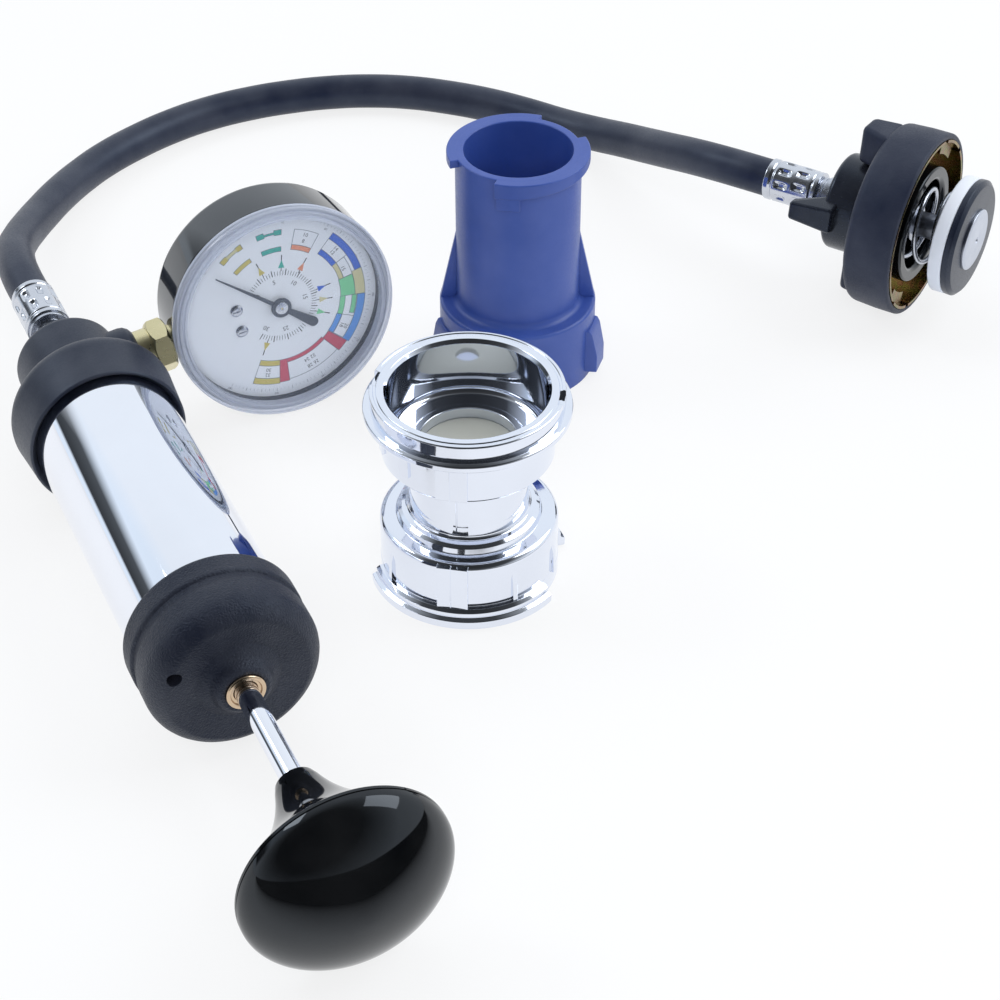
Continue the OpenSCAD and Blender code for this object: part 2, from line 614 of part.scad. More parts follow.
// ---------------------------------------------------------------- hose and its crimps
// The two ends leave their ferrules straight; the points between lie where the hose runs
hose_start = [pump_x, pump_y - pump_ferrule_end, pump_z];
hose_end = [head_x, head_y, head_z] + ferrule_end * [sin(head_turn), -cos(head_turn), 0];
hose_route = concat([hose_start, hose_start + [0, hose_od, 0]],
    [[-130.7, 159.1, 24.4], [-128.3, 169.6, 21.9], [-124.5, 179.6, 18.9], [-118.5, 191.6, 15.3],
    [-111, 204.1, 12], [-102, 216.4, 9.6], [-91, 228.1, 7.8], [-79, 237.6, 6.8], [-65.5, 245, 6.3],
    [-51, 250.4, 6.2], [-36, 253.5, 6.2], [-20.5, 254.2, 6.2], [-5.5, 252.8, 6.2], [9.5, 249.5, 6.2],
    [23.5, 244.2, 6.2], [36.5, 236.7, 6.2], [48.5, 226.8, 6.2], [58.9, 216, 6.2], [67.9, 204.1, 6.2],
    [75.5, 191, 6.8], [81.7, 177.6, 8.9], [85.9, 163.6, 12.6], [88.1, 150.2, 16.8],
    [89.5, 137.6, 21.1], [91.2, 125.5, 25.1], [94, 113.9, 28.1]],
    [hose_end - 0.75 * hose_od * [sin(head_turn), -cos(head_turn), 0], hose_end]);

// Barbed fitting: hex, neck, ring and barb, from z0 towards -z
module fitting(z_hex, af, z_ring, z_end) difference() {
    union() {
        hex(af, z_hex - 5, z_hex);
        bar(barb_r + 1.2, z_ring, z_hex - 4);
        bar(ferrule_r - 0.5, z_ring, z_ring + 1.6);
        bar(barb_r, z_end, z_ring + eps);
    }
    bar(air_r, z_end - 1, z_hex + 1);
}

module hose_nipple() color([0.8, 0.81, 0.83]) pump_place() {
    fitting(nose_end - 0.3, nipple_af, pump_ferrule_start, pump_ferrule_end);
    sleeve(nipple_thread_r - seat_gap, air_r, nose_end - 0.3 - eps, nose_end + nipple_thread_len);
}

// Crimped sleeve: a rolled lip at the hose end and rows of dents pressed by the dies
module crimp(z_end) difference() {
    sleeve(ferrule_r, barb_r + seat_gap, z_end, z_end + ferrule_len);
    for (row = [0:1]) for (k = [0:7]) rotate([0, 0, 45 * k + 22.5 * row])
        translate([ferrule_r + 0.9, 0, z_end + ferrule_len * (0.36 + 0.3 * row)])
            sphere(r = 1.5, $fn = 24);
    translate([0, 0, z_end + 2.4]) difference() {
        bar(ferrule_r + 1, 0, 0.8);
        bar(ferrule_r - 0.3, -eps, 0.8 + eps);
    }
}
module pump_ferrule() color([0.82, 0.83, 0.85]) pump_place() crimp(pump_ferrule_end);
module head_ferrule() color([0.82, 0.83, 0.85]) head_place() crimp(ferrule_end);

module head_nipple() color([0.8, 0.81, 0.83]) head_place() difference() {
    union() {
        bar(barb_r + 2, ferrule_start, stem_back_end);
        bar(barb_r, ferrule_end, ferrule_start + eps);
        bar(ferrule_r - 1.2, ferrule_start + 0.6, ferrule_start + 1.6);
    }
    bar(air_r, ferrule_end - 1, stem_back_end + 1);
}

module hose() color([0.14, 0.14, 0.15]) swept(hose_route, hose_od / 2, 10, [0, 0, 1]);

// ---------------------------------------------------------------- cap head
module head_stem() color([0.74, 0.75, 0.77]) head_place() difference() {
    union() {
        bar(stem_r, stem_back_end, stem_front_end);
        bar(spring_r - spring_wire_d / 2 - 1, flange_back, flange_back + 1.4);
    }
    bar(stem_bore_r, stem_front_end - 24, stem_front_end + eps);
    bar(air_r, stem_back_end - 1, stem_front_end);
}

module stem_clip() color([0.5, 0.5, 0.52]) head_place() difference() {
    sleeve(stem_r + 3, stem_r + seat_gap, collar_back - move_gap - clip_t, collar_back - move_gap);
    translate([0, -stem_r - 2, collar_back - 1]) cube([3, 8, 4], center = true);
}

lever_angle = 172;
lever_out = 19;
lever_tip = -39.5;
module wing_collar() color([0.07, 0.07, 0.08]) head_place() difference() {
    union() {
        spun(concat([[0, collar_back]], arc([collar_r - 1.6, collar_back + 1.6], 1.6, -90, 0, 4),
            [[collar_r, collar_front - 0.6], [collar_r - 0.6, collar_front], [0, collar_front]]));
        rotate([0, 0, lever_angle]) lever();
    }
    bar(stem_r + run_gap, collar_back - 1, collar_front + 1);
    bar(ferrule_r + 1.5, lever_tip - 1, collar_back + eps);
}
// A thumb lever: broad where it leaves the collar, thinner and narrower at its tip
module lever() hull() {
    front = -head_depth - wing_reach - move_gap - 0.2;
    for (s = [-1, 1]) {
        translate([lever_out - 1.2, s * 3, front - 1.2]) sphere(r = 1.2, $fn = 20);
        translate([collar_r - 4, s * 4.4, front - 1.2]) sphere(r = 1.2, $fn = 20);
        translate([collar_r - 4, s * 4.4, collar_back + 2]) sphere(r = 1.2, $fn = 20);
        translate([lever_out - 1.2, s * 1.9, lever_tip + 1.2]) sphere(r = 1.2, $fn = 20);
        translate([lever_out - 3.2, s * 1.9, lever_tip + 1.2]) sphere(r = 1.2, $fn = 20);
    }
}

plate_r = head_r - 1.9;
module cap_body() color([0.12, 0.12, 0.13]) head_place() difference() {
    union() {
        spun(concat([[0, -head_depth]], arc([head_r - 2, -head_depth + 1.6], 1.6, -90, -15, 5),
            [[head_r, -7]], arc([head_r - 1, -1], 1, 0, 90, 4), [[0, 0]]));
        for (a = [wing_angle, wing_angle + 180]) rotate([0, 0, a]) grip_wing();
    }
    bar(plate_r + seat_gap, -plate_depth, eps, 96);
    bar(spring_cup_r + seat_gap, -head_depth + back_wall, 1, 96);
    bar(stem_r + run_gap, -head_depth - 1, 1);
    translate([0, 0, -head_depth - wing_reach - 1]) bar(collar_r + 1, 0, wing_reach + 1, 96);
}
// A finger wing that stands behind the body, flush with its rim
wing_angle = 85;
module grip_wing() intersection() {
    translate([collar_r + 1, 0, 0]) rotate([90, 0, 90]) linear_extrude(head_r)
        polygon([[-7.5, -head_depth + 1], [-6.5, -head_depth], [-4.6, -head_depth - wing_reach + 1.2],
            [-3.4, -head_depth - wing_reach], [3.4, -head_depth - wing_reach],
            [4.6, -head_depth - wing_reach + 1.2], [6.5, -head_depth], [7.5, -head_depth + 1]]);
    spun([[0, -head_depth - wing_reach], [head_r - 1.6, -head_depth - wing_reach],
        [head_r - 0.4, -head_depth - wing_reach + 1.2], [head_r - 0.4, -head_depth + 1], [0, -head_depth + 1]]);
}

tab_angle = 55.6;
tab_half = 13;
module bayonet_plate() color([0.78, 0.68, 0.36]) head_place() difference() {
    union() {
        sleeve(plate_r, plate_r - plate_t, -plate_depth, 0.2);
        sleeve(plate_r, spring_cup_r + 2 * seat_gap, -plate_depth, -plate_depth + plate_t);
        for (a = [tab_angle, tab_angle + 180]) intersection() {
            sleeve(plate_r, plate_r - 5, -2.6, -2.6 + plate_t);
            rotate([0, 0, a]) sector_block(tab_half, -3, 2);
        }
    }
    for (a = [tab_angle, tab_angle + 180], s = [-1, 1]) rotate([0, 0, a + s * (tab_half + 4)])
        translate([plate_r, 0, 0]) cube([3, 2.4, 5], center = true);
}
module sector_block(half, z0, t) translate([0, 0, z0]) linear_extrude(t)
    polygon([[0, 0], 40 * [cos(half), -sin(half)], 40 * [1, 0], 40 * [cos(half), sin(half)]]);

module spring_cup() color([0.08, 0.08, 0.09]) head_place() difference() {
    spun(concat([[0, -head_depth + back_wall]], [[spring_cup_r, -head_depth + back_wall],
        [spring_cup_r, cup_front - 0.8]], arc([spring_cup_r - 0.8, cup_front - 0.8], 0.8, 0, 90, 3),
        [[well_r + 1.6, cup_front]], arc([well_r + 1.6, cup_front - 1.6], 1.6, 90, 180, 4),
        [[well_r, well_floor], [0, well_floor]]));
    bar(stem_r + run_gap, -head_depth, 1);
}

module head_spring() color([0.7, 0.71, 0.73]) {
    r = spring_wire_d / 2;
    p = coil(spring_r, well_floor + r + 0.1, disc_back - r - 0.1, spring_turns, 16);
    echo(head_spring_self_gap = self_gap(p, 16, spring_wire_d));
    head_place() swept(p, r, 6, [0, 0, 1]);
}

module backing_disc() color([0.94, 0.95, 0.96]) head_place() difference() {
    spun(concat([[0, disc_back - 3], [spring_r - 3.2, disc_back - 3], [spring_r - 2.6, disc_back]],
        arc([seal_r - 0.5, disc_back + 0.5], 0.5, -90, 0, 3),
        arc([seal_r - 0.5, disc_front - 0.5], 0.5, 0, 90, 3), [[0, disc_front]]));
    bar(stem_bore_r - run_gap + seat_gap, disc_back - 4, disc_front + 1);
}

rivet_sink = 0.4;    // how deep the rivet's head sits in the rubber
module seal_washer() color([0.1, 0.1, 0.1]) head_place() difference() {
    spun([[0, disc_front], [seal_r, disc_front], [seal_r, seal_front - 1], [seal_r - 1.2, seal_front],
        [0, seal_front]]);
    bar(stem_bore_r - run_gap + seat_gap, disc_front - 1, seal_front + 1);
    bar(rivet_r + seat_gap, seal_front - rivet_sink, seal_front + 1, 96);
}

module seal_rivet() color([0.8, 0.81, 0.83]) head_place() difference() {
    spun([[0, stem_front_end - 15], [stem_bore_r - run_gap, stem_front_end - 15],
        [stem_bore_r - run_gap, seal_front - rivet_sink], [rivet_r, seal_front - rivet_sink],
        [rivet_r, seal_front + 0.6],
        [rivet_r - 0.7, seal_front + 1.1], [0, seal_front + 1.3]]);
    bar(0.7, stem_front_end - 16, seal_front + 2, 24);
}

// ---------------------------------------------------------------- adapters
web_z = chrome_h - top_cup_depth;
low_cup_top = 23;
notch_half = 7;
module chrome_adapter() color([0.88, 0.9, 0.92]) chrome_place() difference() {
    cup_r = neck_bore_r + cup_wall;
    union() {
        spun(concat([[0, 0], [cam_flange_r - 0.6, 0], [cam_flange_r, 0.6], [cam_flange_r, 2.6],
            [cam_flange_r - 1.2, 3.2], [cam_flange_r - 1.2, 4.6], [cam_flange_r - 2.2, 5.4],
            [cup_r + 1.2, 5.6], [cup_r + 1.2, 17.5]],
            arc([cup_r - 0.8, 17.5], 2, 0, 90, 4),
            [[waist_r + 3.2, 19.8], [waist_r + 3, 21.4], [waist_r + 2.2, 22]],
            arc([waist_r + 3.4, low_cup_top + 2.6], 3.4, -110, -180, 5),
            [[waist_r, web_z - 6.4]], arc([waist_r + 3, web_z - 6.4], 3, 180, 120, 4),
            [[cup_r - 0.8, web_z - 3.4], [cup_r, web_z - 2.4], [cup_r + 0.2, chrome_h - 7.6],
            [cam_flange_r - 0.8, chrome_h - 7.2]],
            arc([cam_flange_r - 1.2, chrome_h - 5.8], 1.2, -70, 70, 5),
            [[cam_flange_r - 1.9, chrome_h - 4.4], [cam_flange_r - 1.9, chrome_h - 1.2]],
            arc([cam_flange_r - 3.1, chrome_h - 1.2], 1.2, 0, 90, 4),
            [[0, chrome_h]]));
        // the raised pad along each cup's parting line
        rotate([0, 0, 260]) translate([cup_r - 1, -4.2, web_z - 2]) cube([2, 8.4, top_cup_depth - 5.4]);
        rotate([0, 0, 260]) translate([cup_r, -4.2, 5]) cube([2, 8.4, 14]);
    }
    bar(neck_bore_r, web_z, chrome_h + 1, 96);
    translate([0, 0, chrome_h - 0.8])
        cylinder(h = 0.8 + eps, r1 = neck_bore_r, r2 = neck_bore_r + 0.8, $fn = 96);
    bar(gasket_r + seat_gap, gasket_z, web_z + 1, 96);
    bar(gasket_r - 2.2, low_cup_top - 6, web_z, 96);
    bar(gasket_r + 0.4, low_cup_top - 8, gasket_z - 1.4, 96);
    bar(neck_bore_r, -1, low_cup_top - 7, 96);
    // entry slots through the top flange and the cam windows of the lower cup
    for (a = [0, 180]) {
        rotate([0, 0, a - 10]) flange_gap(notch_half, neck_bore_r + 2.9, chrome_h - 1.8, 4);
        rotate([0, 0, a - 10]) flange_gap(26, cup_r + 1.3, -1, 6.4);
    }
}
// A gap in a flange, beyond radius r, from z0 upwards
module flange_gap(half, r, z0, t) intersection() {
    sector_block(half, z0, t);
    sleeve(cam_flange_r + 5, r, z0 - 1, z0 + t + 1);
}

gasket_r = 13;
gasket_t = 1.6;
gasket_z = web_z - 2.7 - gasket_t;
module adapter_gasket() color([0.78, 0.77, 0.7]) chrome_place()
    sleeve(gasket_r, 3, gasket_z, gasket_z + gasket_t);

module blue_adapter() color([0.13, 0.2, 0.52]) blue_place() {
    tube_r = blue_bore_r + blue_wall;
    ear_r = tube_r + ear_reach;
    difference() {
        union() {
            spun(concat([[0, 0], [blue_collar_r, 0], [blue_collar_r, collar_h - 1]],
                arc([blue_collar_r - 1, collar_h - 1], 1, 0, 90, 3),
                arc([tube_r + 2, collar_h + 2], 2, -90, -180, 4),
                [[tube_r, blue_h], [0, blue_h]]));
            for (a = [-45, 135]) rotate([0, 0, a]) cam_ear(tube_r, ear_r, 65);
            for (a = [0, 180]) rotate([0, 0, a]) gusset(tube_r);
            for (a = [-18, 200]) rotate([0, 0, a]) lock_lug();
        }
        bar(blue_bore_r, -1, blue_h + 1, 96);
        bar(blue_collar_r - blue_collar_wall, -1, collar_h - 4, 96);
    }
}
// An ear of the top flange: thick at its stop, thinning along the ramp under it
ear_t = 5;
ear_ramp = 2.4;
stop_h = 9;
module cam_ear(r0, r1, half) {
    reach = r1 * sin(half);
    difference() {
        intersection() {
            spun([[r0 - 0.5, blue_h - ear_t], [r1, blue_h - ear_t], [r1, blue_h - 0.4],
                [r1 - 0.4, blue_h], [r0 - 0.5, blue_h]]);
            sector_block(half, blue_h - ear_t - 1, ear_t + 2);
        }
        translate([0, -reach, blue_h - ear_t]) rotate([atan(ear_ramp / (2 * reach)), 0, 0])
            translate([0, -ear_t, -ear_t]) cube([2 * r1, 3 * reach, ear_t]);
    }
    intersection() {
        sleeve(r1 - 0.5, r0 - 0.5, blue_h - stop_h, blue_h - 1);
        rotate([0, 0, 11 - half]) sector_block(10, blue_h - stop_h - 1, stop_h + 2);
    }
}
module gusset(r0) translate([0, 1.2, 0]) rotate([90, 0, 0]) linear_extrude(2.4)
    polygon([[r0 - 0.5, collar_h - 2], [blue_collar_r - 0.4, collar_h - 2],
        [blue_collar_r - 0.4, collar_h + 0.6], [r0, 46], [r0 - 0.5, 46]]);
module lock_lug() translate([0, 0, 2.5]) hull() {
    translate([blue_collar_r - 1.6, -5, 0]) cube([1, 10, 15]);
    translate([blue_collar_r + 1.6, -4, 0]) cube([1.4, 8, 6]);
    translate([blue_collar_r + 0.4, -4.4, 12]) cube([1, 8.8, 1.6]);
}

barrel();
front_plug();
plug_oring();
valve_seat();
valve_ball();
valve_spring();
front_cap();
rear_plug();
rear_cap();
rod_bush();
stop_bumper();
piston_rod();
piston_washers();
piston_cup();
piston_nut();
knob_insert();
pump_knob();
gauge_socket();
gauge_case();
gauge_lens();
lens_gasket();
gauge_dial();
dial_screws();
gauge_needle();
needle_arbor();
bourdon_tube();
movement_frame();
sector_gear();
link_arm();
hose_nipple();
pump_ferrule();
hose();
head_ferrule();
head_nipple();
head_stem();
stem_clip();
wing_collar();
cap_body();
bayonet_plate();
spring_cup();
head_spring();
backing_disc();
seal_washer();
seal_rivet();
chrome_adapter();
adapter_gasket();
blue_adapter();
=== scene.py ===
"""Looks of a radiator pressure tester kit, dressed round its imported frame.

Sizes are millimetres in each sub-assembly's own frame, as on a drawing, and become metres
where a mesh is placed. A frame's z axis is the sub-assembly's turning axis.
"""
import json
import logging
import math
from dataclasses import dataclass, field
from enum import Enum
from typing import ClassVar

import bmesh
import bpy
from mathutils import Matrix, Vector


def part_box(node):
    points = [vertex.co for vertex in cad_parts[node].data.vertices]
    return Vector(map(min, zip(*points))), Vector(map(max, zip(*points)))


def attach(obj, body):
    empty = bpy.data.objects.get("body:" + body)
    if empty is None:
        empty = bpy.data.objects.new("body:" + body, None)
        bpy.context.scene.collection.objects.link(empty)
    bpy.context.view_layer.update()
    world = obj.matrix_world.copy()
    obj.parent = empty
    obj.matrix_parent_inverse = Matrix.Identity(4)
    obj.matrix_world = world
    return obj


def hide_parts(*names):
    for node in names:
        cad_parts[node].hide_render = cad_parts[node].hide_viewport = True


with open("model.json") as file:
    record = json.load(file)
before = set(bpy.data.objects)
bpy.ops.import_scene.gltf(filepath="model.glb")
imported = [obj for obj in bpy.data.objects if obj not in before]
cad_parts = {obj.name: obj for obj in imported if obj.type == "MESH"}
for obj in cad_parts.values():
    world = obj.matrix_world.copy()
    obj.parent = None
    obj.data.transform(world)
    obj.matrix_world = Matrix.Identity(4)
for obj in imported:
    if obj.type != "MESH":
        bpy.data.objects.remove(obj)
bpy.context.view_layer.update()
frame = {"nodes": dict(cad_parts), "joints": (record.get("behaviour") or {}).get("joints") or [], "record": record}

LOG = logging.getLogger("pressure_tester")
MM = 0.001
UP = Vector((0, 0, 1))
SMOOTH_ANGLE = math.radians(34)
FLAT_ANGLE = math.radians(0.2)
TURNED_SIDES = 160
DRAWN_MERGE = 1e-4      # millimetres
NODE_MERGE = 2e-6       # metres
ON_AXIS = 1e-6
AREA_WEIGHT = 80

Colour = tuple[float, float, float]
Outline = list[tuple[float, float]]
Corners = list[tuple[float, ...]]
Levels = tuple[tuple[float, float], ...]


def srgb(code: str) -> Colour:
    """A colour written as six hex digits, made linear.

    Args:
        code: the red, green and blue bytes, such as "3a5cc0".

    Returns:
        The linear red, green and blue.
    """
    parts = [int(code[i:i + 2], 16) / 255 for i in (0, 2, 4)]
    return tuple(c / 12.92 if c <= 0.04045 else ((c + 0.055) / 1.055) ** 2.4 for c in parts)


# ------------------------------------------------------------------ places
def placed(origin: Vector, axis: Vector, up: Vector) -> Matrix:
    """A frame whose z is axis and whose y is up, from millimetres to the scene's metres.

    Args:
        origin: where the frame's origin lies, in metres.
        axis: the direction of its z.
        up: the direction of its y.

    Returns:
        The matrix that places a drawing in millimetres.
    """
    z = axis.normalized()
    x = up.cross(z).normalized()
    y = z.cross(x)
    turn = Matrix((x, y, z)).transposed().to_4x4()
    return Matrix.Translation(origin) @ turn @ Matrix.Scale(MM, 4)


def joint(name: str) -> dict:
    """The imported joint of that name."""
    return next(j for j in frame["joints"] if j["name"] == name)


def mount(name: str) -> dict:
    """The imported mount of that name."""
    return next(m for m in frame["record"]["mounts"] if m["name"] == name)


class Places:
    LIP_BEHIND_BARREL = 13.6
    ADAPTER_TURN = math.radians(-25)

    def __init__(self) -> None:
        """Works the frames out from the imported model."""
        low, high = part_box("barrel")
        middle = (low + high) / 2
        lip = Vector((middle.x, high.y - self.LIP_BEHIND_BARREL * MM, middle.z))
        self.pump = placed(lip, Vector((0, -1, 0)), UP)
        swivel = joint("cap_swivel")
        self.head = placed(Vector(swivel["pos_m"]), Vector(swivel["axis"]), UP)
        needle, sector = joint("needle_turn"), joint("sector_swing")
        centre = Vector(needle["pos_m"])
        self.gauge = placed(centre, -Vector(needle["axis"]), centre - Vector(sector["pos_m"]))
        self.chrome = self.adapter("chrome_top_neck")
        self.blue = self.adapter("blue_tube")

    def adapter(self, name: str) -> Matrix:
        """An adapter's frame on the floor, from its top bore's mount."""
        x, y, _ = mount(name)["pos_m"]
        turn = Matrix.Rotation(self.ADAPTER_TURN, 4, "Z")
        return Matrix.Translation((x, y, 0)) @ turn @ Matrix.Scale(MM, 4)


# ------------------------------------------------------------------ node trees
class Graph:
    """A node tree, with short calls that add nodes to it."""

    def __init__(self, tree: bpy.types.NodeTree) -> None:
        """Takes the tree to add to."""
        self.tree = tree

    def add(self, kind: str, inputs: dict, **settings: object) -> bpy.types.Node:
        """Adds a node.

        Args:
            kind: the node's type.
            inputs: a socket or a constant for each input, by name or place.
            settings: properties of the node.

        Returns:
            The node.
        """
        node = self.tree.nodes.new(kind)
        for name, value in settings.items():
            setattr(node, name, value)
        for name, value in inputs.items():
            if isinstance(value, bpy.types.NodeSocket):
                self.tree.links.new(value, node.inputs[name])
            else:
                node.inputs[name].default_value = value
        return node

    def math(self, operation: str, *values: object) -> bpy.types.NodeSocket:
        """The result of a math node on the values."""
        return self.add("ShaderNodeMath", dict(enumerate(values)), operation=operation).outputs[0]

    def plus(self, a: object, b: object) -> bpy.types.NodeSocket:
        """The sum of two values."""
        return self.math("ADD", a, b)

    def minus(self, a: object, b: object) -> bpy.types.NodeSocket:
        """The first value less the second."""
        return self.math("SUBTRACT", a, b)

    def times(self, a: object, b: object) -> bpy.types.NodeSocket:
        """The product of two values."""
        return self.math("MULTIPLY", a, b)

    def ramp(self, value: bpy.types.NodeSocket,
             stops: list[tuple[float, Colour]]) -> bpy.types.NodeSocket:
        """Turns a value into a colour, through stops of place and colour."""
        node = self.add("ShaderNodeValToRGB", {"Fac": value})
        elements = node.color_ramp.elements
        while len(elements) < len(stops):
            elements.new(0.5)
        for element, (at, colour) in zip(elements, stops):
            element.position = at
            element.color = (*colour, 1.0)
        return node.outputs["Color"]

    def spread(self, value: bpy.types.NodeSocket, low: float, high: float,
               start: float = 0.3, end: float = 0.7, **settings: object) -> bpy.types.NodeSocket:
        """Maps a value from start..end onto low..high."""
        return self.add("ShaderNodeMapRange", {
            "From Min": start, "From Max": end, "To Min": low, "To Max": high,
            "Value": value}, **settings).outputs["Result"]


class Shader(Graph):
    """A material's node tree, with short calls for the nodes that the finishes share."""

    def __init__(self, name: str) -> None:
        """Starts a material with one Principled shader."""
        self.material = bpy.data.materials.new(name)
        self.material.use_nodes = True
        super().__init__(self.material.node_tree)
        self.tree.nodes.clear()
        self.surface = self.add("ShaderNodeBsdfPrincipled", {})
        self.output = self.add("ShaderNodeOutputMaterial", {
            "Surface": self.surface.outputs["BSDF"]})
        self.place = self.add("ShaderNodeTexCoord", {}).outputs["Object"]

    def set(self, name: str, value: float | Colour) -> None:
        """Sets a constant on the shader's own socket."""
        socket = self.surface.inputs[name]
        socket.default_value = (*value, 1.0) if isinstance(value, tuple) else value

    def feed(self, name: str, value: bpy.types.NodeSocket) -> None:
        """Joins a field to the shader's own socket."""
        self.tree.links.new(value, self.surface.inputs[name])

    def noise(self, scale: float, detail: float = 3.0,
              stretch: Colour = (1, 1, 1)) -> bpy.types.NodeSocket:
        """A noise field over the piece.

        Args:
            scale: cells per metre.
            detail: octaves.
            stretch: how much finer the field is along each axis.

        Returns:
            The field's value.
        """
        mapping = self.add("ShaderNodeMapping", {"Vector": self.place, "Scale": stretch})
        return self.add("ShaderNodeTexNoise", {
            "Vector": mapping.outputs["Vector"], "Scale": scale, "Detail": detail}).outputs["Fac"]

    def bump(self, height: bpy.types.NodeSocket, distance: float,
             normal: bpy.types.NodeSocket | None = None) -> bpy.types.NodeSocket:
        """A bump from a height field, on top of another bump where one is given.

        Args:
            height: the field.
            distance: the depth of the relief, in metres.
            normal: the bump under it.

        Returns:
            The new normal.
        """
        under = {} if normal is None else {"Normal": normal}
        node = self.add("ShaderNodeBump", {
            "Distance": distance, "Strength": 1.0, "Height": height, **under})
        return node.outputs["Normal"]


# ------------------------------------------------------------------ finishes
def mixed(a: Colour, b: Colour, share: float) -> Colour:
    """A colour that lies share of the way from a to b."""
    return tuple(x + (y - x) * share for x, y in zip(a, b))


@dataclass(frozen=True)
class Finish:
    """A moulded, painted or rubber surface: its colour, gloss and grain."""

    CLOUD_SCALE: ClassVar[float] = 60
    PALE_SHARE: ClassVar[float] = 0.25
    ROUGHNESS_SPREAD: ClassVar[tuple[float, float]] = (0.85, 1.2)

    name: str
    colour: Colour
    roughness: float
    mottle: float = 0.12
    grain: float = 1500.0
    relief: float = 0.00002
    pebble: float = 0.0
    pebble_scale: float = 1300.0
    gloss: float = 0.5
    # tint of every reflection on the surface; a bluish tint here is the light's bluish cast painted into the sheen
    sheen: Colour = (1.0, 1.0, 1.0)

    def build(self) -> bpy.types.Material:
        """Makes the material."""
        s = Shader(self.name)
        s.set("Specular IOR Level", self.gloss)
        s.set("Specular Tint", self.sheen)
        cloud = s.noise(self.CLOUD_SCALE, 4)
        dark = mixed(self.colour, (0, 0, 0), self.mottle)
        pale = mixed(self.colour, (1, 1, 1), self.mottle * self.PALE_SHARE)
        s.feed("Base Color", s.ramp(cloud, [(0.3, dark), (0.7, pale)]))
        fine = s.noise(self.grain, 4)
        smooth_end, rough_end = (self.roughness * share for share in self.ROUGHNESS_SPREAD)
        s.feed("Roughness", s.spread(fine, smooth_end, min(1.0, rough_end)))
        normal = s.bump(fine, self.relief)
        if self.pebble:
            normal = s.bump(s.noise(self.pebble_scale, 2), self.pebble, normal)
        s.feed("Normal", normal)
        self.dress(s)
        return s.material

    def dress(self, s: Shader) -> None:
        """Adds what a special finish has over the plain one."""


@dataclass(frozen=True)
class Metal(Finish):
    """A metal: brushed along one axis, or plated and polished, with faint scratches."""

    SCRATCH_SCALE: ClassVar[float] = 260

    brush: Colour = (1, 1, 1)
    scratch: float = 0.000004

    def dress(self, s: Shader) -> None:
        """Makes the surface metal and lays scratches on it."""
        s.set("Metallic", 1.0)
        lines = s.noise(self.SCRATCH_SCALE, 5, self.brush)
        base = s.surface.inputs["Normal"].links[0].from_socket
        s.feed("Normal", s.bump(lines, self.scratch, base))


@dataclass(frozen=True)
class YellowZinc(Metal):
    """Zinc with a yellow passivation, whose colour drifts from gold to green and rose."""

    DRIFT_SCALE: ClassVar[float] = 150
    DRIFT: ClassVar[tuple] = ((0.3, "8f8048"), (0.45, "84654a"), (0.55, "79783f"), (0.7, "9a6a50"))

    def dress(self, s: Shader) -> None:
        """Lays the drifting colours over the metal."""
        super().dress(s)
        drift = s.noise(self.DRIFT_SCALE, 2)
        s.feed("Base Color", s.ramp(drift, [(at, srgb(code)) for at, code in self.DRIFT]))


@dataclass(frozen=True)
class ClearPlastic(Finish):
    """A clear moulding, of which share is seen and the rest lets the pieces under it show."""

    share: float = 0.2

    def dress(self, s: Shader) -> None:
        """Lets the pieces behind the moulding show through it."""
        s.set("Alpha", self.share)


# Bluish tints for the reflections of the dark finishes: painted bluish light in their sheen, not a colour of the
# plastic or rubber.
BLUE_LIGHT_SHEEN = (0.68, 0.8, 1.0)
BLUE_LIGHT_GLOSS_SHEEN = (0.82, 0.9, 1.0)

CHROME = Metal("mirror_chrome", srgb("f0f3fb"), 0.035, mottle=0.02, relief=0.0,
               scratch=0.0000012)
CAST_CHROME = Metal("cast_chrome", srgb("e8edf8"), 0.06, mottle=0.02, grain=380,
                    relief=0.000004, scratch=0.000004)
STEEL = Metal("satin_steel", srgb("c6cbd6"), 0.24, mottle=0.06, brush=(1, 1, 6), scratch=0.000003)
RIVET_STEEL = Metal("rivet_steel", srgb("ccd2df"), 0.34, mottle=0.1, grain=500,
                    relief=0.000004, scratch=0.000003)
BRIGHT_ZINC = Metal("bright_zinc", srgb("d3d7e0"), 0.16, mottle=0.12, grain=700, relief=0.000004)
BRASS = Metal("polished_brass", srgb("e6dcb0"), 0.3, mottle=0.12, grain=700, relief=0.000003)
COPPER_BRASS = Metal("turned_bush", srgb("d6bda0"), 0.2, mottle=0.08, relief=0.000003)
YELLOW_ZINC = YellowZinc("yellow_zinc", srgb("8f8048"), 0.26, relief=0.000004)
BLACK_RUBBER = Finish("black_rubber", srgb("191e2e"), 0.3, grain=2200, relief=0.00001, sheen=BLUE_LIGHT_SHEEN)
CAP_RUBBER = Finish("cap_rubber", srgb("191e2f"), 0.42, grain=1800, relief=0.00003, sheen=BLUE_LIGHT_SHEEN)
GRAINED = Finish("grained_plastic", srgb("121627"), 0.46, grain=2400, relief=0.00003,
                 pebble=0.00036, pebble_scale=1900.0, gloss=0.45, sheen=BLUE_LIGHT_SHEEN)
HEAD_PLASTIC = Finish("head_plastic", srgb("1b2136"), 0.5, grain=2000, relief=0.00002,
                      pebble=0.00006, gloss=0.4, sheen=BLUE_LIGHT_SHEEN)
HOSE_RUBBER = Finish("hose_rubber", srgb("1c2236"), 0.42, grain=1600, relief=0.00002, sheen=BLUE_LIGHT_SHEEN)
BLACK_PLASTIC = Finish("black_plastic", srgb("171b29"), 0.48, grain=1800, relief=0.00002,
                       sheen=BLUE_LIGHT_SHEEN)
GLOSS_BLACK = Finish("gloss_black", srgb("030406"), 0.05, mottle=0.03, grain=300,
                     relief=0.000001, sheen=BLUE_LIGHT_GLOSS_SHEEN)
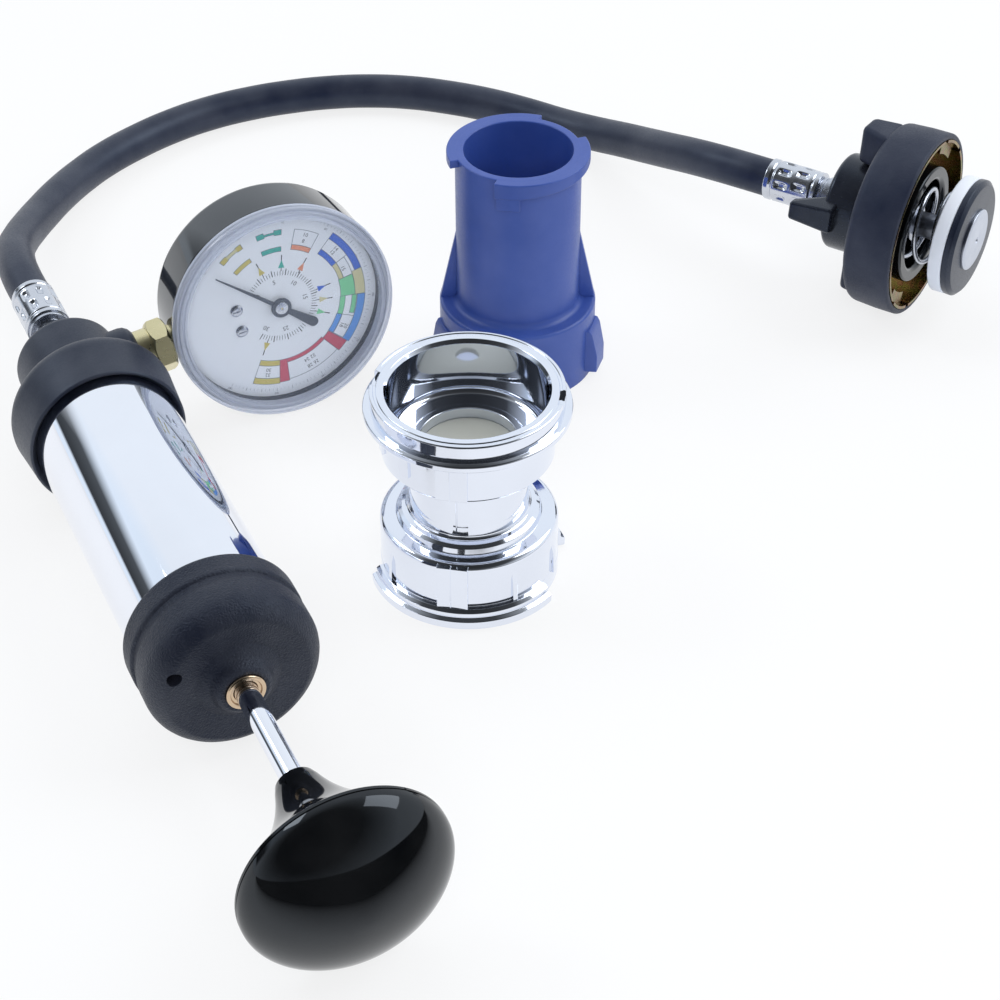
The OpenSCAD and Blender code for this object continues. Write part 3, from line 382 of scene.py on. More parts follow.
CASE_BLACK = Finish("case_black", srgb("07090f"), 0.06, mottle=0.04, grain=300,
                    relief=0.000001, gloss=0.9, sheen=BLUE_LIGHT_GLOSS_SHEEN)
COLLAR_BLACK = Finish("collar_black", srgb("0f1320"), 0.24, mottle=0.08, grain=600,
                      relief=0.000006, sheen=BLUE_LIGHT_SHEEN)
LEATHER = Finish("cup_leather", srgb("6b4a33"), 0.6, grain=900, relief=0.00008)
DIAL_WHITE = Finish("dial_white", srgb("f4f8ff"), 0.5, mottle=0.01, relief=0.000003)
NEEDLE_GREY = Finish("needle_grey", srgb("4a5260"), 0.42, mottle=0.06, relief=0.000004)
DISC_WHITE = Finish("disc_white", srgb("f1f5ff"), 0.36, mottle=0.03, grain=1200, relief=0.00001)
GASKET = Finish("gasket_grey", srgb("c9c9bf"), 0.62, mottle=0.06, grain=1300, relief=0.00002)
BLUE_NYLON = Finish("blue_nylon", srgb("3754a6"), 0.36, mottle=0.08, grain=1300, relief=0.00001)
LENS = ClearPlastic("clear_lens", srgb("dfe8f8"), 0.03, mottle=0.0, grain=200, relief=0.0,
                    gloss=0.9, share=0.05)
LENS_RIM = ClearPlastic("lens_rim", srgb("dde4f6"), 0.08, mottle=0.02, grain=200, relief=0.0,
                        gloss=0.9, share=0.55)

SLOT_FINISH: dict[str, Finish] = {
    "chrome": CHROME, "black_plastic": BLACK_PLASTIC, "cap_rubber": CAP_RUBBER,
    "black_rubber": BLACK_RUBBER, "hose_rubber": HOSE_RUBBER, "gloss_black": GLOSS_BLACK,
    "brass": BRASS, "steel": STEEL, "zinc": BRIGHT_ZINC, "yellow_zinc": YELLOW_ZINC,
    "cup_leather": LEATHER, "clear_lens": LENS, "dial_white": DIAL_WHITE,
    "needle_grey": NEEDLE_GREY, "disc_white": DISC_WHITE, "gasket_grey": GASKET,
    "blue_plastic": BLUE_NYLON,
}


class Paint(Enum):
    """The inks of the dial's coloured marks."""

    YELLOW = "d3c46c"
    TEAL = "3fb5a8"
    ORANGE = "ee9a78"
    BLUE = "3f6fdc"
    SKY = "62a0ee"
    CREAM = "dcd6a8"
    GREEN = "84dca4"
    RED = "d0566e"
    BLACK = "2c3240"
    GREY = "6f7888"


class Palette:
    """Every finish's material, made once."""

    def __init__(self) -> None:
        """Starts with no material made."""
        self.made: dict[str, bpy.types.Material] = {}

    def of(self, finish: Finish) -> bpy.types.Material:
        """The finish's material, made at its first use."""
        if finish.name not in self.made:
            self.made[finish.name] = finish.build()
        return self.made[finish.name]

    def ink(self, paint: Paint) -> bpy.types.Material:
        """The material of one of the dial's inks."""
        name = f"ink_{paint.name.lower()}"
        return self.of(Finish(name, srgb(paint.value), 0.5, mottle=0.05, grain=2500, relief=0.000003))


PALETTE = Palette()


# ------------------------------------------------------------------ meshes
def rounded(corners: Corners, steps: int = 5) -> Outline:
    """Rounds the corners of an outline.

    Args:
        corners: points of radius and height, each with its fillet's radius where it has one.
        steps: points along each fillet, less one.

    Returns:
        The outline with its fillets.
    """
    out: Outline = []
    for i, corner in enumerate(corners):
        here = Vector(corner[:2])
        fillet = corner[2] if len(corner) > 2 else 0.0
        if not fillet or i in (0, len(corners) - 1):
            out.append(tuple(here))
            continue
        before = Vector(corners[i - 1][:2]) - here
        after = Vector(corners[i + 1][:2]) - here
        half = before.angle(after) / 2
        reach = min(fillet / math.tan(half), before.length * 0.48, after.length * 0.48)
        radius = reach * math.tan(half)
        inwards = (before.normalized() + after.normalized()).normalized()
        middle = here + inwards * radius / math.sin(half)
        start = here + before.normalized() * reach - middle
        end = here + after.normalized() * reach - middle
        turn = start.angle_signed(end)
        for k in range(steps + 1):
            a = -turn * k / steps
            point = middle + Vector((start.x * math.cos(a) - start.y * math.sin(a),
                                     start.x * math.sin(a) + start.y * math.cos(a)))
            out.append(tuple(point))
    return out


def shown(name: str, data: bpy.types.ID) -> bpy.types.Object:
    """A new object at the origin, linked to the scene."""
    obj = bpy.data.objects.new(name, data)
    bpy.context.scene.collection.objects.link(obj)
    return obj


def keep_mesh(obj: bpy.types.Object) -> bpy.types.Object:
    """Turns an object with modifiers, or a text, into a plain mesh object of the same name."""
    bpy.context.view_layer.update()
    graph = bpy.context.evaluated_depsgraph_get()
    mesh = bpy.data.meshes.new_from_object(obj.evaluated_get(graph))
    name = obj.name
    bpy.data.objects.remove(obj)
    return shown(name, mesh)


def smooth(mesh: bpy.types.Mesh, angle: float = SMOOTH_ANGLE) -> None:
    """Shades a mesh smooth, apart from edges sharper than angle."""
    mesh.polygons.foreach_set("use_smooth", [True] * len(mesh.polygons))
    mesh.set_sharp_from_angle(angle=angle)


def mesh_of(name: str, bm: bmesh.types.BMesh) -> bpy.types.Mesh:
    """Turns a drawn mesh into mesh data, and frees it."""
    mesh = bpy.data.meshes.new(name)
    bm.to_mesh(mesh)
    bm.free()
    return mesh


def mesh_object(name: str, bm: bmesh.types.BMesh, place: Matrix,
                finish: Finish) -> bpy.types.Object:
    """Makes an object at the origin from a mesh drawn in millimetres.

    Args:
        name: the piece's name.
        bm: the drawn mesh, which is freed.
        place: the frame that it is drawn in.
        finish: its finish.

    Returns:
        The object.
    """
    bmesh.ops.remove_doubles(bm, verts=bm.verts, dist=DRAWN_MERGE)
    bmesh.ops.recalc_face_normals(bm, faces=bm.faces)
    mesh = mesh_of(name, bm)
    mesh.transform(place)
    mesh.materials.append(PALETTE.of(finish))
    smooth(mesh)
    return shown(name, mesh)


def add_turned(bm: bmesh.types.BMesh, outline: Outline, sides: int = TURNED_SIDES) -> None:
    """Adds an outline of radius and height, turned about z.

    Args:
        bm: the mesh to add to.
        outline: its points. It closes on itself unless both ends lie on the axis.
        sides: steps round the axis.
    """
    rings = []
    for radius, height in outline:
        if radius < ON_AXIS:
            rings.append([bm.verts.new((0, 0, height))] * sides)
        else:
            rings.append([bm.verts.new((radius * math.cos(a), radius * math.sin(a), height))
                          for a in (2 * math.pi * k / sides for k in range(sides))])
    on_axis = outline[0][0] < ON_AXIS and outline[-1][0] < ON_AXIS
    pairs = list(zip(rings, rings[1:])) + ([] if on_axis else [(rings[-1], rings[0])])
    for low, high in pairs:
        for k in range(sides):
            corners = (low[k], low[(k + 1) % sides], high[(k + 1) % sides], high[k])
            unique = list(dict.fromkeys(corners))
            if len(unique) > 2:
                bm.faces.new(unique)


def add_sector(bm: bmesh.types.BMesh, outline: Outline, start: float, end: float,
               ramp: float = 0.0) -> None:
    """Adds an outline of radius and height, swept about z from start to end.

    Args:
        bm: the mesh to add to.
        outline: its points, which close on themselves.
        start: the first angle, in degrees.
        end: the last angle, in degrees.
        ramp: how far the outline's lowest points rise along the sweep.
    """
    steps = max(2, round((end - start) / 360 * TURNED_SIDES))
    floor = min(z for _, z in outline) + 0.5
    rings = []
    for k in range(steps + 1):
        a = math.radians(start + (end - start) * k / steps)
        rise = ramp * k / steps
        rings.append([bm.verts.new((r * math.cos(a), r * math.sin(a),
                                    z + (rise if z < floor else 0)))
                      for r, z in outline])
    for low, high in zip(rings, rings[1:]):
        for i in range(len(outline)):
            j = (i + 1) % len(outline)
            bm.faces.new((low[i], low[j], high[j], high[i]))
    bm.faces.new(rings[0])
    bm.faces.new(rings[-1])


def add_web(bm: bmesh.types.BMesh, outline: Outline, angle: float, half: float,
            taper: float = 1.0) -> None:
    """Adds a flat web that stands out from the z axis: a rib, a pad or a lug.

    Args:
        bm: the mesh to add to.
        outline: its side view, as radius and height.
        angle: the direction in which it stands, in degrees.
        half: half its thickness.
        taper: the thickness at its highest radius, as a share.
    """
    turn = Matrix.Rotation(math.radians(angle), 4, "Z")
    near, far = min(r for r, _ in outline), max(r for r, _ in outline)
    sides = []
    for side in (-1, 1):
        thick = [half * (1 + (taper - 1) * (r - near) / (far - near)) for r, _ in outline]
        sides.append([bm.verts.new(turn @ Vector((r, side * t, z)))
                      for (r, z), t in zip(outline, thick)])
    for i in range(len(outline)):
        j = (i + 1) % len(outline)
        bm.faces.new((sides[0][i], sides[0][j], sides[1][j], sides[1][i]))
    bm.faces.new(sides[0])
    bm.faces.new(sides[1])


def block(near: float, far: float, low: float, high: float) -> Outline:
    """A web's side view from one radius to another and one height to another."""
    return [(near, low), (far, low), (far, high), (near, high)]


def turned(name: str, outline: Outline, place: Matrix, finish: Finish,
           sides: int = TURNED_SIDES) -> bpy.types.Object:
    """An outline of radius and height turned about the frame's z, as an object.

    Args:
        name: the piece's name.
        outline: its points. It closes on itself unless both ends lie on the axis.
        place: the frame that it is drawn in.
        finish: its finish.
        sides: steps round the axis.

    Returns:
        The object.
    """
    bm = bmesh.new()
    add_turned(bm, outline, sides)
    return mesh_object(name, bm, place, finish)


def eased(piece: bpy.types.Object, width: float, segments: int = 2,
          angle: float = SMOOTH_ANGLE) -> bpy.types.Object:
    """Rounds a piece's sharp edges and shades it by the area of its faces.

    Args:
        piece: the piece, which is replaced.
        width: how wide an eased edge is, in millimetres.
        segments: steps across an eased edge.
        angle: edges sharper than this are eased.

    Returns:
        The finished piece.
    """
    easing = piece.modifiers.new("eased_edges", "BEVEL")
    easing.width = width * MM
    easing.segments = segments
    easing.limit_method = "ANGLE"
    easing.angle_limit = angle
    easing.use_clamp_overlap = True
    shade = piece.modifiers.new("even_shading", "WEIGHTED_NORMAL")
    shade.keep_sharp = True
    shade.weight = AREA_WEIGHT
    return keep_mesh(piece)


def finished(node: str, finish: Finish, bevel: float = 0.25, segments: int = 2,
             angle: float = SMOOTH_ANGLE) -> bpy.types.Object:
    """A copy of a CAD node with merged faces, eased edges and a finish, which stands for the node.

    Args:
        node: the CAD node's name.
        finish: the finish.
        bevel: the width of its eased edges, in millimetres.
        segments: steps across an eased edge.
        angle: edges sharper than this are eased.

    Returns:
        The piece, which already rides on the node's body.
    """
    source = frame["nodes"][node]
    bm = bmesh.new()
    bm.from_mesh(source.data)
    bmesh.ops.remove_doubles(bm, verts=bm.verts, dist=NODE_MERGE)
    bmesh.ops.dissolve_limit(bm, angle_limit=FLAT_ANGLE, verts=bm.verts, edges=bm.edges)
    mesh = mesh_of(f"{node}_finished", bm)
    mesh.materials.append(PALETTE.of(finish))
    smooth(mesh, angle)
    piece = eased(shown(mesh.name, mesh), bevel, segments, angle)
    return settle(piece, body_of(node), slot_of(node), node)


def body_of(node: str) -> str:
    """The body that a CAD node belongs to."""
    bodies = frame["record"]["behaviour"]["bodies"]
    return next(body for body, nodes in bodies.items() if node in nodes)


def slot_of(node: str) -> str:
    """The material slot of a CAD node."""
    return next(s["material_slot"] for s in frame["record"]["subparts"] if s["node"] == node)


def settle(piece: bpy.types.Object, body: str, slot: str, *nodes: str) -> bpy.types.Object:
    """Makes a piece ride on a body, and hides the CAD nodes that it stands for.

    Args:
        piece: the finished piece.
        body: the CAD body that carries it.
        slot: the record's material slot; not used.
        nodes: the CAD nodes that it replaces.

    Returns:
        The piece.
    """
    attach(piece, body)
    if nodes:
        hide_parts(*nodes)
    faces = len(piece.data.polygons) if piece.type == "MESH" else 0
    LOG.info("%s rides on %s, %d faces", piece.name, body, faces)
    return piece


# ------------------------------------------------------------------ geometry nodes
class Tree(Graph):
    """A geometry node tree with named inputs, whose result is kept as a plain mesh."""

    def __init__(self, name: str, numbers: dict[str, float]) -> None:
        """Starts a tree.

        Args:
            name: the tree's name.
            numbers: its inputs' names and defaults. A whole number makes a count.
        """
        super().__init__(bpy.data.node_groups.new(name, "GeometryNodeTree"))
        face = self.tree.interface
        face.new_socket(name="Geometry", in_out="INPUT", socket_type="NodeSocketGeometry")
        for label, value in numbers.items():
            kind = "NodeSocketInt" if isinstance(value, int) else "NodeSocketFloat"
            face.new_socket(name=label, in_out="INPUT", socket_type=kind).default_value = value
        face.new_socket(name="Material", in_out="INPUT", socket_type="NodeSocketMaterial")
        face.new_socket(name="Geometry", in_out="OUTPUT", socket_type="NodeSocketGeometry")
        self.given = self.tree.nodes.new("NodeGroupInput").outputs
        self.result = self.tree.nodes.new("NodeGroupOutput")

    def point(self, x: object, y: object, z: object) -> bpy.types.NodeSocket:
        """A vector from three values."""
        return self.add("ShaderNodeCombineXYZ", {0: x, 1: y, 2: z}).outputs[0]

    def polar(self, radius: object, angle: object, height: object) -> bpy.types.NodeSocket:
        """A vector from a radius, an angle in radians and a height."""
        return self.point(self.times(radius, self.math("COSINE", angle)),
                          self.times(radius, self.math("SINE", angle)), height)

    def moved(self, geometry: bpy.types.NodeSocket,
              to: bpy.types.NodeSocket) -> bpy.types.NodeSocket:
        """The geometry with its points moved to a field of places."""
        return self.add("GeometryNodeSetPosition", {
            "Geometry": geometry, "Position": to}).outputs[0]

    def sheet(self, across: int, along: int) -> tuple[bpy.types.NodeSocket, ...]:
        """A grid with so many points each way, and where each point lies in it, from 0 to 1."""
        grid = self.add("GeometryNodeMeshGrid", {
            "Size X": 1.0, "Size Y": 1.0, "Vertices X": across, "Vertices Y": along}).outputs[0]
        at = self.add("GeometryNodeInputPosition", {}).outputs[0]
        split = self.add("ShaderNodeSeparateXYZ", {0: at}).outputs
        return grid, self.plus(split[0], 0.5), self.plus(split[1], 0.5)

    def end(self, geometry: bpy.types.NodeSocket) -> None:
        """Realizes instances and sets the material."""
        real = self.add("GeometryNodeRealizeInstances", {"Geometry": geometry}).outputs[0]
        dressed = self.add("GeometryNodeSetMaterial", {
            "Geometry": real, "Material": self.given["Material"]})
        self.tree.links.new(dressed.outputs[0], self.result.inputs[0])

    def grow(self, name: str, place: Matrix, material: bpy.types.Material,
             values: dict) -> bpy.types.Object:
        """Runs the tree and keeps its result as a plain mesh.

        Args:
            name: the piece's name.
            place: the frame that it is drawn in.
            material: its material.
            values: the inputs' values, by name.

        Returns:
            The piece.
        """
        obj = shown(name, bpy.data.meshes.new(name))
        modifier = obj.modifiers.new("grow", "NODES")
        modifier.node_group = self.tree
        values = {**values, "Material": material}
        for item in self.tree.interface.items_tree:
            if item.in_out == "INPUT" and item.name in values:
                modifier[item.identifier] = values[item.name]
        made = keep_mesh(obj)
        made.data.transform(place)
        smooth(made.data)
        return made


def tick_tree() -> Tree:
    """A ring of short strokes, with a longer and wider one at every nth place."""
    t = Tree("tick_ring", {"Count": 61, "Start": 0.0, "Step": 0.1, "Radius": 10.0, "Length": 1.5,
                           "Width": 0.15, "Every": 10, "Long": 1.7, "Height": 0.0})
    index = t.add("GeometryNodeInputIndex", {}).outputs[0]
    angle = t.plus(t.given["Start"], t.times(index, t.given["Step"]))
    major = t.math("LESS_THAN", t.math("MODULO", index, t.given["Every"]), 0.5)
    longer = t.plus(1.0, t.times(major, t.minus(t.given["Long"], 1.0)))
    wider = t.plus(1.0, t.times(major, 0.8))
    middle = t.plus(t.given["Radius"], t.times(0.5, t.times(longer, t.given["Length"])))
    points = t.add("GeometryNodeMeshLine", {"Count": t.given["Count"]}).outputs[0]
    stroke = t.add("GeometryNodeMeshGrid", {
        "Size X": t.given["Length"], "Size Y": t.given["Width"],
        "Vertices X": 2, "Vertices Y": 2}).outputs[0]
    strokes = t.add("GeometryNodeInstanceOnPoints", {
        "Points": t.moved(points, t.polar(middle, angle, t.given["Height"])), "Instance": stroke,
        "Rotation": t.point(0.0, 0.0, angle), "Scale": t.point(longer, wider, 1.0)})
    t.end(strokes.outputs[0])
    return t


def band_tree() -> Tree:
    """A flat stretch of a ring."""
    t = Tree("dial_band", {"Inner": 18.0, "Outer": 20.0, "Start": 0.0, "Sweep": 0.5, "Height": 0.0})
    grid, across, along = t.sheet(25, 2)
    angle = t.plus(t.given["Start"], t.times(t.given["Sweep"], across))
    width = t.minus(t.given["Outer"], t.given["Inner"])
    radius = t.plus(t.given["Inner"], t.times(width, along))
    t.end(t.moved(grid, t.polar(radius, angle, t.given["Height"])))
    return t


def pointer_tree() -> Tree:
    """A small triangle at a place on a ring, pointing outwards."""
    t = Tree("pointer_mark", {"Radius": 12.5, "Angle": 0.0, "Size": 1.0, "Height": 0.0})
    triangle = t.add("GeometryNodeMeshCircle", {"Vertices": 3, "Radius": t.given["Size"]},
                     fill_type="NGON").outputs[0]
    thin = t.add("GeometryNodeTransform", {
        "Geometry": triangle, "Scale": (1.35, 0.85, 1.0)}).outputs[0]
    mark = t.add("GeometryNodeTransform", {
        "Geometry": thin, "Rotation": t.point(0.0, 0.0, t.given["Angle"]),
        "Translation": t.polar(t.given["Radius"], t.given["Angle"], t.given["Height"])})
    t.end(mark.outputs[0])
    return t


def spring_tree() -> Tree:
    """A round wire wound into an open spring."""
    t = Tree("wound_spring", {"Radius": 11.5, "Wire": 0.8, "Turns": 2.6, "Height": 17.0,
                              "Lift": 0.0})
    line = t.add("GeometryNodeCurvePrimitiveLine", {"End": (0.0, 0.0, 1.0)}).outputs[0]
    points = t.add("GeometryNodeResampleCurve", {"Curve": line, "Count": 400}).outputs[0]
    along = t.add("GeometryNodeSplineParameter", {}).outputs["Factor"]
    angle = t.times(t.times(along, t.given["Turns"]), 2 * math.pi)
    height = t.plus(t.given["Lift"], t.times(along, t.given["Height"]))
    wire = t.add("GeometryNodeCurvePrimitiveCircle", {
        "Resolution": 20, "Radius": t.given["Wire"]}).outputs[0]
    tube = t.add("GeometryNodeCurveToMesh", {
        "Curve": t.moved(points, t.polar(t.given["Radius"], angle, height)),
        "Profile Curve": wire, "Fill Caps": True})
    t.end(tube.outputs[0])
    return t


def crimp_tree() -> Tree:
    """A sleeve pressed on a hose: two rows of dents between two shallow grooves."""
    t = Tree("crimped_sleeve", {"Radius": 6.7, "Bore": 3.3, "Length": 17.8, "Dents": 9,
                                "Depth": 0.8, "Start": 0.0})
    grid, round_share, across = t.sheet(225, 131)
    angle = t.times(round_share, 2 * math.pi)
    # the section starts on the bore, runs out along one end, up the outside and back to the bore
    outside = t.minus(1.0, t.math("ABSOLUTE", t.minus(t.times(across, 2.0), 1.0)))
    wall = t.spread(outside, 0.0, 1.0, 0.0, 0.08)
    share = t.spread(across, 0.0, 1.0, 0.04, 0.96)

    def hump(centre: float, half: float, flat: float = 0.0) -> bpy.types.NodeSocket:
        """A smooth hump along the sleeve, one at its centre and nought beyond its half width."""
        away = t.math("ABSOLUTE", t.minus(share, centre))
        return t.spread(away, 0.0, 1.0, half, flat, interpolation_type="SMOOTHSTEP")

    def dents(centre: float, turn: float) -> bpy.types.NodeSocket:
        """One row of square dents round the sleeve."""
        wave = t.math("COSINE", t.times(t.given["Dents"], t.plus(angle, turn)))
        spots = t.spread(wave, 0.0, 1.0, -0.3, 0.9, interpolation_type="SMOOTHSTEP")
        return t.times(spots, hump(centre, 0.15, 0.04))

    pressed = t.plus(dents(0.34, 0.0), dents(0.68, 0.15))
    grooves = t.plus(t.times(hump(0.13, 0.045), 0.5), t.times(hump(0.9, 0.03), 0.35))
    sunk = t.times(t.given["Depth"], t.plus(pressed, grooves))
    thick = t.minus(t.given["Radius"], t.given["Bore"])
    full = t.plus(t.given["Bore"], t.times(thick, t.math("POWER", wall, 0.5)))
    radius = t.minus(full, t.times(sunk, wall))
    height = t.plus(t.given["Start"], t.times(t.given["Length"], share))
    closed = t.add("GeometryNodeMergeByDistance", {
        "Geometry": t.moved(grid, t.polar(radius, angle, height)), "Distance": 0.002})
    t.end(closed.outputs[0])
    return t


# ------------------------------------------------------------------ sub-assemblies
@dataclass
class Pump:
    """The hand pump: barrel, rubber caps, rod, bush and knob."""

    place: Matrix
    barrel_r: float = 20.5
    bore_r: float = 19.25
    barrel_front: float = -13.6
    barrel_back: float = 96.4
    rod_r: float = 3.0
    rod_front: float = 29.7
    knob_start: float = 144.5
    knob_r: float = 26.0
    neck_len: float = 31.0
    dome: float = 15.5
    neck_r: float = 5.4
    bush_r: float = 5.2
    bush_end: float = 111.5
    bush_start: float = 86.4
    rod_sunk: float = 17.0
    rod_sides: int = 64
    bush_sides: int = 96
    neck_steps: int = 30
    dome_steps: int = 24
    dome_power: float = 1.15
    boss: Corners = field(default_factory=lambda: [
        (5.3, 104.6), (12.6, 105.4, 0.2), (10.4, 106.75, 3.0), (8.3, 108.0, 2.0),
        (7.2, 110.2, 1.0), (6.2, 110.7, 0.4), (5.3, 110.6)])

    def build(self) -> None:
        """Makes and settles the pump's pieces."""
        tube = rounded([(self.bore_r, self.barrel_front), (self.barrel_r, self.barrel_front, 0.3),
                        (self.barrel_r, self.barrel_back, 0.3), (self.bore_r, self.barrel_back)])
        settle(turned("barrel_tube", tube, self.place, CHROME), "pump", "chrome", "barrel")
        finished("front_cap", CAP_RUBBER, 0.5, 3)
        finished("rear_cap", GRAINED, 0.4, 3)
        boss = turned("rear_cap_boss", rounded(self.boss, 4), self.place, GRAINED, self.bush_sides)
        settle(boss, "pump", "black_plastic")
        self.build_bush()
        end = self.knob_start + self.rod_sunk
        rod = rounded([(0, self.rod_front), (self.rod_r, self.rod_front, 0.3),
                       (self.rod_r, end, 0.2), (0, end)])
        shaft = turned("rod", rod, self.place, CHROME, self.rod_sides)
        settle(shaft, "plunger", "chrome", "piston_rod")
        self.build_knob()

    def build_bush(self) -> None:
        """The brass bush, with a rolled lip round a sunk mouth."""
        bore, r, end = self.rod_r + 0.05, self.bush_r, self.bush_end
        section = rounded([
            (bore, self.bush_start), (r, self.bush_start), (r, end, 0.5), (r - 1.1, end, 0.4),
            (r - 1.3, end - 0.8, 0.2), (bore + 0.2, end - 0.8, 0.1), (bore, end - 1.1)])
        bush = turned("bush_turned", section, self.place, COPPER_BRASS, self.bush_sides)
        settle(bush, "pump", "brass", "rod_bush")

    def build_knob(self) -> None:
        """The mushroom knob: a flared neck, a rim with its parting line and a full dome."""
        start, rim, r = self.knob_start, self.knob_start + self.neck_len, self.knob_r
        spread = r - self.neck_r
        points: Outline = [(0, start), (self.neck_r - 0.8, start),
                           (self.neck_r - 0.2, start + 0.2), (self.neck_r, start + 0.8)]
        for i in range(2, self.neck_steps - 1):
            u = i / self.neck_steps
            points.append((self.neck_r + spread * (0.35 * u + 0.65 * u * u),
                           start + self.neck_len * u))
        points += [(r - 0.9, rim - 1.3), (r - 0.35, rim - 1.0), (r - 0.05, rim - 0.6),
                   (r - 0.02, rim + 0.15), (r - 0.35, rim + 0.3), (r - 0.35, rim + 0.45),
                   (r, rim + 0.6)]
        for i in range(1, self.dome_steps):
            a = math.radians(90 * i / self.dome_steps)
            points.append((r * math.cos(a) ** self.dome_power,
                           rim + 1 + (self.dome - 1) * math.sin(a) ** self.dome_power))
        points.append((0, rim + self.dome))
        knob = turned("knob", points, self.place, GLOSS_BLACK)
        settle(knob, "plunger", "gloss_black", "pump_knob")


@dataclass(frozen=True)
class Arc:
    """A stretch of a ring on the dial, in millimetres and degrees."""

    inner: float
    outer: float
    start: float
    end: float


@dataclass(frozen=True)
class Band(Arc):
    """A coloured stretch of the dial's test bands."""

    paint: Paint


@dataclass(frozen=True)
class Panel(Arc):
    """A framed field of the dial, with its numbers from the middle outwards."""

    numbers: tuple[str, ...]


@dataclass(frozen=True)
class Scale:
    """A full ring of strokes on the dial, in millimetres."""

    paint: Paint
    radius: float
    count: int
    length: float
    width: float
    every: int
    longer: float


DIAL_BANDS = (
    Band(18.0, 19.2, 196, 214, Paint.YELLOW), Band(23.4, 24.9, 196, 200, Paint.YELLOW),
    Band(23.4, 24.9, 209, 214, Paint.YELLOW), Band(23.7, 24.6, 200, 209, Paint.CREAM),
    Band(17.9, 19.2, 166, 184, Paint.TEAL), Band(23.2, 24.7, 166, 171, Paint.TEAL),
    Band(23.2, 24.7, 179, 184, Paint.TEAL), Band(23.6, 24.1, 171, 179, Paint.TEAL),
    Band(18.3, 19.7, 138, 156, Paint.ORANGE), Band(19.3, 20.8, 110, 129, Paint.BLUE),
    Band(24.9, 26.9, 96, 129, Paint.BLUE), Band(19.5, 20.8, 94, 109.5, Paint.CREAM),
    Band(23.9, 26.9, 77, 95.5, Paint.CREAM), Band(19.3, 23.7, 77, 93.5, Paint.GREEN),
    Band(19.1, 20.6, 60, 76.5, Paint.GREEN), Band(24.6, 26.9, 41.5, 76.5, Paint.SKY),
    Band(18.9, 20.5, 42, 59.5, Paint.SKY), Band(22.9, 24.2, 62, 76.5, Paint.GREEN),
    Band(19.0, 26.2, 33, 41, Paint.RED), Band(18.4, 19.5, -6, 32.6, Paint.RED),
    Band(18.4, 25.9, -13, -6.4, Paint.RED), Band(18.4, 20.0, -32, -13.4, Paint.YELLOW),
    Band(24.4, 26.2, -32, -13.4, Paint.YELLOW),
)
DIAL_PANELS = (
    Panel(19.8, 24.6, 138, 156, ("8", "10")), Panel(21.0, 24.7, 110, 129, ("12", "14")),
    Panel(21.0, 23.7, 94, 109.5, ("15",)), Panel(20.8, 24.4, 42, 59.5, ("18", "20")),
    Panel(19.7, 25.4, -6, 32.6, ("22 24", "26 28")), Panel(20.2, 24.2, -32, -13.4, ("30", "32")),
)
DIAL_SCALES = (
    Scale(Paint.BLACK, 10.0, 61, 1.5, 0.15, 5, 1.35),
    Scale(Paint.GREY, 27.9, 109, 0.7, 0.07, 4, 1.4),
)
DIAL_MARKS = ((Paint.YELLOW, 193), (Paint.TEAL, 165), (Paint.ORANGE, 137), (Paint.BLUE, 94),
              (Paint.CREAM, 77), (Paint.GREEN, 59), (Paint.YELLOW, -32))


